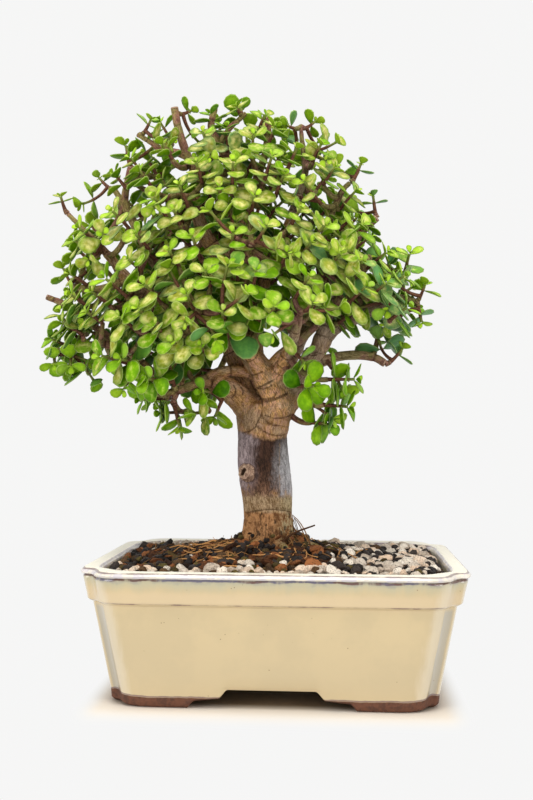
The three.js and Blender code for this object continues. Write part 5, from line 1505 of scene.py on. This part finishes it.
def carve_bark(trunk, lines):
    """Finds the limb that each point of the fused skin belongs to, raises the bark's segments and sinks
    the rings between them, and keeps what the bark's material reads."""
    count = len(trunk.data.vertices)
    points = np.zeros(count * 3)
    normals = np.zeros(count * 3)
    trunk.data.vertices.foreach_get("co", points)
    trunk.data.vertex_normals.foreach_get("vector", normals)
    points = (points.reshape(-1, 3) - POT_MIDDLE) / MM
    normals = normals.reshape(-1, 3)
    best = np.full(count, np.inf)
    grain = np.zeros((count, 3))
    ring, youth, raised = np.zeros((3, count))
    for seed, line in enumerate(lines):
        lengths = path_lengths(line)
        marks = segment_marks(lengths[-1], line[:, 3].mean(), seed + 3)
        strength = 0.45 if seed == 0 else 1.0
        close = (points > line[:, :3].min(0) - 22) & (points < line[:, :3].max(0) + 22)
        near = np.flatnonzero(close.all(1))
        for i in range(len(line) - 1):
            start, step = line[i, :3], line[i + 1, :3] - line[i, :3]
            share = segment_share(points[near], start, step)
            out = points[near] - start - share[:, None] * step
            radius = line[i, 3] + (line[i + 1, 3] - line[i, 3]) * share
            measure = np.linalg.norm(out, axis=1) / radius
            won = measure < best[near]
            chosen = near[won]
            best[chosen] = measure[won]
            along = lengths[i] + share[won] * np.linalg.norm(step)
            grain[chosen] = out[won] - np.outer(out[won] @ unit(step), unit(step))
            grain[chosen, 2] = along + seed * 53
            shape, groove = ring_shape(along, marks)
            raised[chosen] = shape * strength * np.minimum(radius[won] * 0.07, 0.45)
            ring[chosen] = groove * strength
            youth[chosen] = smooth(*YOUNG_RADII, radius[won])
    sunk, hollow, callus = carve_scar(points)
    fold = fold_depth(points, normals)
    # The crown's folds go into the rings' values, which paint them dark: painted shade in the folds
    ring = np.maximum(ring * smooth(1.0, 0.3, fold), fold)
    rough = np.array([noise.fractal(Vector(p * [0.16, 0.16, 0.07]), 0.9, 2.1, 4) for p in points])
    moved = raised + 0.5 * rough + sunk - FOLD_DEPTH * fold - BARK_SHRINK
    points = points + normals * moved[:, None]
    trunk.data.vertices.foreach_set("co", (points * MM + POT_MIDDLE).ravel())
    trunk.data.update()
    add_values(trunk, {"grain": grain, "ring": ring, "youth": youth, "scar": hollow, "callus": callus})


def fold_depth(points, normals):
    """1 in the middle of a fold in the crown's bark, falling to 0 beside it, on the side that faces front."""
    flat = seen_flat(points)
    nearest = np.full(len(points), np.inf)
    for fold in FOLDS:
        fold = eased([[x, 0, z, 0] for x, z in fold], 0.8)[:, [0, 2]]
        for start, end in zip(fold, fold[1:]):
            share = segment_share(flat, start, end - start)
            away = flat - start - share[:, None] * (end - start)
            nearest = np.minimum(nearest, np.linalg.norm(away, axis=1))
    facing = smooth(0.1, -0.25, normals[:, 1])
    return np.exp(-(nearest / FOLD_WIDTH) ** 2) * facing


def carve_scar(points):
    """The hollow in the callus, high on its left: how far points move out, how far they are in the hollow,
    and in the callus round it."""
    facing, level, _ = scar_frame()
    offset = points - SCAR_CENTRE
    close = smooth(9, 5, np.abs(offset @ facing))
    wobble = np.array([noise.noise(Vector(place) * 0.4) for place in offset])
    across, up = offset @ level + wobble * 0.9, offset[:, 2] - wobble * 0.6
    callus = close * smooth(SCAR_RADIUS + 3.2, SCAR_RADIUS + 1.4, np.hypot(across, up / 0.76))
    along, beside = (across + up) * 0.7 - SCAR_HOLE[0], (up - across) * 0.7 - SCAR_HOLE[1]
    hollow = close * np.exp(-(along / 2.9) ** 2 - (beside / 1.6) ** 2)
    lumps = np.array([noise.noise(Vector(place) * 0.6 + Vector((9, 0, 0))) for place in offset])
    return 1.4 * lumps * callus - 2.3 * hollow, hollow, callus


# Leaves

def leaf_shape():
    """Leaf of unit length along x, with its face up: points, faces, nearness to the rim and upper side."""
    ball, faces = primitive_shape(bpy.ops.mesh.primitive_uv_sphere_add, segments=12, ring_count=4, radius=1)
    reach = np.hypot(ball[:, 0], ball[:, 1])
    reach = np.where((reach > 0.1) & (reach < 0.95), 0.82, reach)
    angle = np.arctan2(ball[:, 1], ball[:, 0])
    rim_x = 0.52 + 0.48 * np.cos(angle)
    rim_y = 0.62 * LEAF_WIDTH * np.sin(angle) * (0.5 + 0.5 * np.cos(angle)) ** 0.5
    x = 0.58 + (rim_x - 0.58) * reach
    y = rim_y * reach
    height = np.where(reach > 0.95, 0, np.where(reach > 0.1, 0.62, 1))
    z = np.where(ball[:, 2] > 0, 0.34, -0.66) * height * LEAF_THICKNESS / LEAF_LENGTH
    return np.column_stack([x, y, z]), faces, reach, smooth(-0.3, 0.3, ball[:, 2])


def add_leaf(heap, shape, centre, stem, outward, spread, length, curl, looks):
    """Leaf that grows out of a stem, opened from it by the spread in degrees."""
    points, faces, rim, upper = shape
    angle = math.radians(spread)
    along = stem * math.cos(angle) + outward * math.sin(angle)
    face = stem * math.sin(angle) - outward * math.cos(angle)
    side = np.cross(stem, outward)
    x, y, z = points.T
    bent = z - curl * (x - 0.3) ** 2 + 0.35 * curl * (y / 0.4) ** 2
    placed = centre + length * (np.outer(x, along) + np.outer(y, side) + np.outer(bent, face))
    heap.add(placed, faces, rim=rim, upper=upper, woody=0.0, youth=0.0, **looks)


def stem_frame(curve, place, turn):
    """Directions at a place on a stem: along it, out to one leaf of a pair, and across."""
    before, after = bezier(*curve, max(place - 0.02, 0)), bezier(*curve, min(place + 0.02, 1))
    stem = unit(after - before)
    side = unit(np.cross([0, 0, 1.0], stem))
    up = np.cross(stem, side)
    out = side * math.cos(turn) + up * math.sin(turn)
    return stem, out, np.cross(stem, out)


def grow_stem(heap, shape, curve, turn, roll, chance, pairs, vigour):
    """Stem with opposite pairs of leaves, each pair a quarter turn from the last. Older leaves are larger
    and dustier, and those at the tip are small and bright."""
    base, _, tip = curve
    length = np.linalg.norm(tip - base)
    climb = np.clip((tip[2] - SMALLER_FROM) / (SMALLEST_FROM - SMALLER_FROM), 0, 1)
    scale = min(max(length / FULL_LEAF_SHOOT, LEAST_LEAF_SIZE), 1) * (0.9 + 0.22 * roll())
    scale *= vigour * (1 - (1 - TOP_LEAF_SIZE) * climb)
    light = leaf_light(tip, chance)
    for side in range(4):
        for number, (place, size, spread) in enumerate(pairs):
            if side % 2 != number % 2:
                continue
            stem, out, across = stem_frame(curve, place, turn)
            outward = (out if side % 2 == 0 else across) * (1 if side < 2 else -1)
            leaf_length = LEAF_LENGTH * size * scale * (0.92 + 0.16 * roll())
            opening = spread + 16 * (roll() - 0.5)
            age = 1 - number / (len(pairs) - 1)
            tone = light["tone"] + 0.45 * (1 - age) + 0.5 * (chance() - 0.5)
            looks = {"tone": tone, "dust": light["dust"] * (0.4 + 0.6 * age) * (0.4 + 1.2 * chance()),
                     "cool": light["cool"] * age + 0.7 * (chance() - 0.45)}
            add_leaf(heap, shape, bezier(*curve, place), stem, outward, opening, leaf_length,
                     0.32 * chance() - 0.06, looks)
    shares = np.linspace(0, 0.97, 12)
    line = np.array([bezier(*curve, share) for share in shares])
    radii = SHOOT_RADIUS * (1 - 0.42 * shares)
    for place, _, _ in pairs:
        radii = radii + 0.18 * np.exp(-((shares - place) / 0.04) ** 2)
    youth = np.concatenate([[0], np.repeat(shares, STEM_SIDES), [1]])
    heap.add(*tube(line, radii, STEM_SIDES), rim=0.0, upper=1.0, tone=0.5, dust=0.0, cool=0.0, woody=1.0,
             youth=youth)


def leaf_light(tip, chance):
    """How a shoot's leaves look, by its place: bright and dusty-yellow on the top and front of the crown,
    cooler on the right, and deep green inside and below, partly the leaves' own colour and partly painted
    light and shade."""
    flat = seen_flat(tip)
    outness = min(crown_reach(tip), 1)
    height = smooth(165, 250, tip[2])
    front = smooth(30, -30, tip[1])
    right = smooth(20, 75, flat[0])
    # Partly painted light: leaves are lighter and dustier on the crown's top and front and darker inside and
    # below
    tone = 0.1 + 0.25 * height + 0.25 * smooth(0.5, 1, outness) + 0.4 * (chance() - 0.4)
    dust = smooth(0.35, 0.75, 0.45 * height + 0.3 * front + 0.5 * (chance() - 0.3)) * (1 - 0.6 * right)
    return {"tone": tone, "dust": dust, "cool": 0.45 * right + 0.7 * (chance() - 0.4)}


def crown_section(z):
    """Middle and half width of the crown at a height, seen from the front."""
    left, right = (np.interp(z, CROWN_EDGES[:, 0], CROWN_EDGES[:, column]) for column in (1, 2))
    return (left + right) / 2, (right - left) / 2


def crown_reach(place, spare=0):
    """How far out in the crown a place is, seen from the front: 1 on its surface, and more under its
    floor and a spare height over it."""
    x, z = seen_flat(place)
    if z < np.interp(x, CROWN_FLOOR[:, 0], CROWN_FLOOR[:, 1]) + spare or z > CROWN_EDGES[-1, 0]:
        return 2
    middle, half = crown_section(z)
    return math.hypot((x - middle) / half, (place[1] - CROWN_MIDDLE_DEPTH) / (half * CROWN_DEPTH_RATIO))


def crown_front(x, z):
    """Depth of the crown's rounded front where it is seen at x, z."""
    middle, half = crown_section(z)
    out = ((x - middle) / half) ** 2
    return CROWN_MIDDLE_DEPTH - half * CROWN_DEPTH_RATIO * math.sqrt(max(0.05, 1 - out)) * 0.9


def in_open_place(tip):
    away = np.linalg.norm(OPEN_PLACES[:, :2] - seen_flat(tip), axis=1)
    return (away < OPEN_PLACES[:, 2]).any()


def nearest_distance(tip, others):
    return np.min(np.linalg.norm(np.asarray(others) - tip, axis=1))


def fork_tips(paths):
    """Second tip of each of the CAD's shoots, or None."""
    tips = [path[4] for path in paths]
    forks = []
    for number, (_, _, base, _, tip) in enumerate(paths):
        stem = unit(tip - base)
        across = unit(np.cross([0, 0, 1.0], stem))
        up = np.cross(stem, across)
        others = tips[:number] + tips[number + 1:]
        best, most = None, LEAST_ROOM
        for i in range(FORK_SIDES):
            angle = 2 * math.pi * i / FORK_SIDES
            place = tip - stem * FORK_DROP + FORK_REACH * (across * math.cos(angle) + up * math.sin(angle))
            room = min(nearest_distance(place, others), LIMB_ROOM * nearest_on_limbs(place)[1])
            if room > most and crown_reach(place) < CROWN_SHARE:
                best, most = place, room
        forks.append(best)
        if best is not None:
            tips.append(best)
    return forks


def fork_curve(curve, fork_tip):
    """Way of the second stem: sideways out of the first one, then along with it."""
    start = bezier(*curve, FORK_PLACE)
    stem = unit(curve[2] - curve[0])
    return start, (start + fork_tip) / 2 - stem * FORK_BOW, fork_tip


def shell_tips(taken):
    """Tips of shoots spread evenly over shells of the crown, wherever there is room."""
    tips = list(taken)
    roll = dice(77)
    for out, room in CROWN_SHELLS:
        for z in np.arange(*SHELL_HEIGHTS, room * 0.62):
            middle, half = crown_section(z)
            turn = 2 * math.pi * roll()
            count = max(3, int(2 * math.pi * half * out * 0.82 / (room * 0.8)))
            for i in range(count):
                angle = turn + 2 * math.pi * (i + 0.6 * roll()) / count
                place = out * (0.93 + 0.07 * roll()) * half
                depth = CROWN_MIDDLE_DEPTH + CROWN_DEPTH_RATIO * place * math.sin(angle)
                tip = seen(middle + place * math.cos(angle), z + room * 0.5 * (roll() - 0.5), depth)
                if crown_reach(tip, SHELL_FLOOR) > 1 or in_open_place(tip):
                    continue
                if nearest_distance(tip, tips) >= room:
                    tips.append(tip)
    return tips[len(taken):]


def spur_tips(taken):
    """Tips of the short leafy spurs along the limbs, wherever there is room in the crown."""
    tips = []
    for number, path in enumerate(LIMB_PATHS.values()):
        roll = dice(900 + number)
        line = eased(path, 2)
        lengths = path_lengths(line)
        at = SPUR_SPACING * roll()
        turn = 2 * math.pi * roll()
        while at < lengths[-1]:
            i = int(np.searchsorted(lengths, at))
            at += SPUR_SPACING * (0.7 + 0.6 * roll())
            turn += 2.4
            point, radius = line[i, :3], line[i, 3]
            along = unit(line[min(i + 1, len(line) - 1), :3] - line[max(i - 1, 0), :3])
            side = unit(np.cross(along, [0.3, 0.2, 1]))
            around = side * math.cos(turn) + np.cross(along, side) * math.sin(turn)
            heading = unit(0.8 * around + 0.2 * along + [0, 0, 0.55])
            tip = point + heading * (radius + SPUR_LENGTHS[0] + (SPUR_LENGTHS[1] - SPUR_LENGTHS[0]) * roll())
            has_room = nearest_distance(tip, taken + tips) >= SPUR_ROOM
            fits = crown_reach(tip) <= 1 and not in_open_place(tip)
            if radius <= SPUR_LIMB_RADIUS and has_room and fits:
                tips.append(tip)
    return tips


def leaning_stem(tip, roll):
    """Base and middle of the stem under a tip: upright in the crown's top, leaning out at its sides and
    hanging a little under it."""
    middle, _ = crown_section(tip[2])
    outward = unit(np.array([tip[0] - middle + 0.01, (tip[1] - CROWN_MIDDLE_DEPTH) * 1.2, 0]))
    climb = smooth(160, 215, tip[2])
    sway = np.array([roll() - 0.5, roll() - 0.5, 0]) * 0.9
    lean = unit(outward * (1.3 - 0.75 * smooth(230, 325, tip[2])) + sway + [0, 0, -0.1 + 1.0 * climb])
    base = tip - lean * STEM_LENGTH * (0.85 + 0.4 * roll())
    return base, (base + tip) / 2 - outward * 0.8


def branch_line(start, bow, base):
    """Line of a woody branch that passes through the bow."""
    shares = np.linspace(0, 1, max(4, int(np.linalg.norm(base - start) / 1.6)))
    line = bezier(start, 2 * bow - (start + base) / 2, base, shares)
    return np.column_stack([line, BRANCH_RADIUS * (1.3 - 0.35 * shares)])


def make_cad_shoots(finish, shape):
    """Finer shoots in place of the CAD's. Gives back their tips and their branches."""
    paths = [shoot_path(seen(*tip)) for tip in TIPS]
    forks = fork_tips(paths)
    branches = []
    for number, ((start, bow, *curve), fork_tip) in enumerate(zip(paths, forks)):
        roll, chance = dice(100 + number), dice(4000 + number)
        turn = 2 * math.pi * roll()
        fork_turn = 2 * math.pi * roll() if fork_tip is not None else 0
        heap = Heap()
        grow_stem(heap, shape, curve, turn, roll, chance, PAIRS, 1)
        if fork_tip is not None:
            grow_stem(heap, shape, fork_curve(curve, fork_tip), fork_turn, roll, chance, PAIRS, 1)
        branches.append(branch_line(start, bow, curve[0]))
        name = f"shoot_{number + 1:02d}"
        settle(heap.build(f"{name}_leaves"), finish, "leaf", name)
    return [path[4] for path in paths] + [tip for tip in forks if tip is not None], branches


def make_small_shoots(finish, shape, taken):
    """The rosettes that show on the crown's front, and more shoots all through the crown. Gives back
    their branches."""
    tips = [seen(x, z, crown_front(x, z)) for x, z in ROSETTES]
    tips += shell_tips(taken + tips)
    tips += spur_tips(taken + tips)
    groups = [Heap() for _ in range(SMALL_SHOOT_GROUPS)]
    branches = []
    for number, tip in enumerate(tips):
        roll, chance = dice(500 + number), dice(5000 + number)
        base, middle = leaning_stem(tip, roll)
        grow_stem(groups[number % SMALL_SHOOT_GROUPS], shape, (base, middle, tip), 2 * math.pi * roll(), roll,
                  chance, SMALL_SHOOT_PAIRS, SMALL_SHOOT_VIGOUR)
        start, distance, _ = nearest_on_limbs(base)
        branches.append(branch_line(start, (start + base) / 2 - np.array([0, 0, 0.16 * distance]), base))
    for number, heap in enumerate(groups):
        settle(heap.build(f"small_shoots_{number + 1}"), finish, "leaf")
    return branches


def make_foliage(finish):
    """All the leafy shoots. Gives back the woody branches that carry them."""
    shape = leaf_shape()
    taken, branches = make_cad_shoots(finish, shape)
    return branches + make_small_shoots(finish, shape, taken)


# Studio

def make_floor():
    floor = add_primitive(bpy.ops.mesh.primitive_plane_add, size=FLOOR_SIZE,
                          location=(0, 0, pot_low.z - 0.0002))
    floor.name = "floor"
    bpy.ops.object.transform_apply(location=True, rotation=True, scale=True)
    floor.data.materials.append(floor_finish())


def add_softbox(name, place, size, power, colour):
    lamp = bpy.data.lights.new(name, "AREA")
    lamp.shape = "RECTANGLE"
    lamp.size, lamp.size_y = size
    lamp.energy = power
    lamp.color = colour
    light = link_object(name, lamp)
    light.location = place
    direction = Vector(OBJECT_MIDDLE) - light.location
    light.rotation_euler = direction.to_track_quat("-Z", "Y").to_euler()


def light_studio():
    """A white backdrop to the camera and, dimmer, to mirrors, a softer room for the light, and softboxes."""
    world = bpy.data.worlds.new("white_studio")
    bpy.context.scene.world = world
    world.use_nodes = True
    tree = world.node_tree
    backdrop = tree.nodes["Background"]
    backdrop.inputs["Color"].default_value = (*BACKDROP, 1)
    room = tree.nodes.new("ShaderNodeBackground")
    room.inputs["Color"].default_value = (ROOM_LIGHT, ROOM_LIGHT, ROOM_LIGHT, 1)
    rays = tree.nodes.new("ShaderNodeLightPath")
    mirrored = tree.nodes.new("ShaderNodeMath")
    mirrored.operation = "MULTIPLY_ADD"
    mirrored.inputs[1].default_value = MIRRORED_BACKDROP
    mixed = tree.nodes.new("ShaderNodeMixShader")
    for source, target in (
        (rays.outputs["Is Glossy Ray"], mirrored.inputs[0]),
        (rays.outputs["Is Camera Ray"], mirrored.inputs[2]),
        (mirrored.outputs[0], mixed.inputs[0]),
        (room.outputs[0], mixed.inputs[1]),
        (backdrop.outputs[0], mixed.inputs[2]),
        (mixed.outputs[0], tree.nodes["World Output"].inputs["Surface"]),
    ):
        tree.links.new(source, target)
    for name, softbox in SOFTBOXES.items():
        add_softbox(name, *softbox)
    view = bpy.context.scene.view_settings
    view.view_transform = "Standard"
    view.look = "None"


def place_camera():
    turn, tilt, roll = (math.radians(angle) for angle in (CAMERA_TURN, CAMERA_TILT, CAMERA_ROLL))
    forward = Vector((math.sin(turn) * math.cos(tilt), math.cos(turn) * math.cos(tilt), math.sin(tilt)))
    level = Vector((math.cos(turn), -math.sin(turn), 0))
    upright = level.cross(forward)
    right = level * math.cos(roll) + upright * math.sin(roll)
    up = upright * math.cos(roll) - level * math.sin(roll)
    data = bpy.data.cameras.new("camera")
    data.sensor_width = SENSOR
    data.lens = FOCAL_PIXELS / IMAGE_LONG_SIDE * SENSOR
    data.clip_start = 0.01
    data.clip_end = 50
    camera = link_object("camera", data)
    place = Vector(CAMERA_PLACE) * MM + Vector(POT_MIDDLE)
    camera.matrix_world = Matrix.Translation(place) @ Matrix((right, up, -forward)).transposed().to_4x4()
    bpy.context.scene.camera = camera


def main():
    make_pot(glaze_finish())
    screen = screen_finish()
    make_screen(-DRAIN_X, "fine_screen_left", "drain_screen_left", screen)
    make_screen(DRAIN_X, "fine_screen_right", "drain_screen_right", screen)
    make_soil(soil_finish())
    make_stones()
    make_fibres(fibre_finish())
    branches = make_foliage(leaf_finish())
    make_wood(bark_finish(), branches)
    make_floor()
    light_studio()
    place_camera()


main()
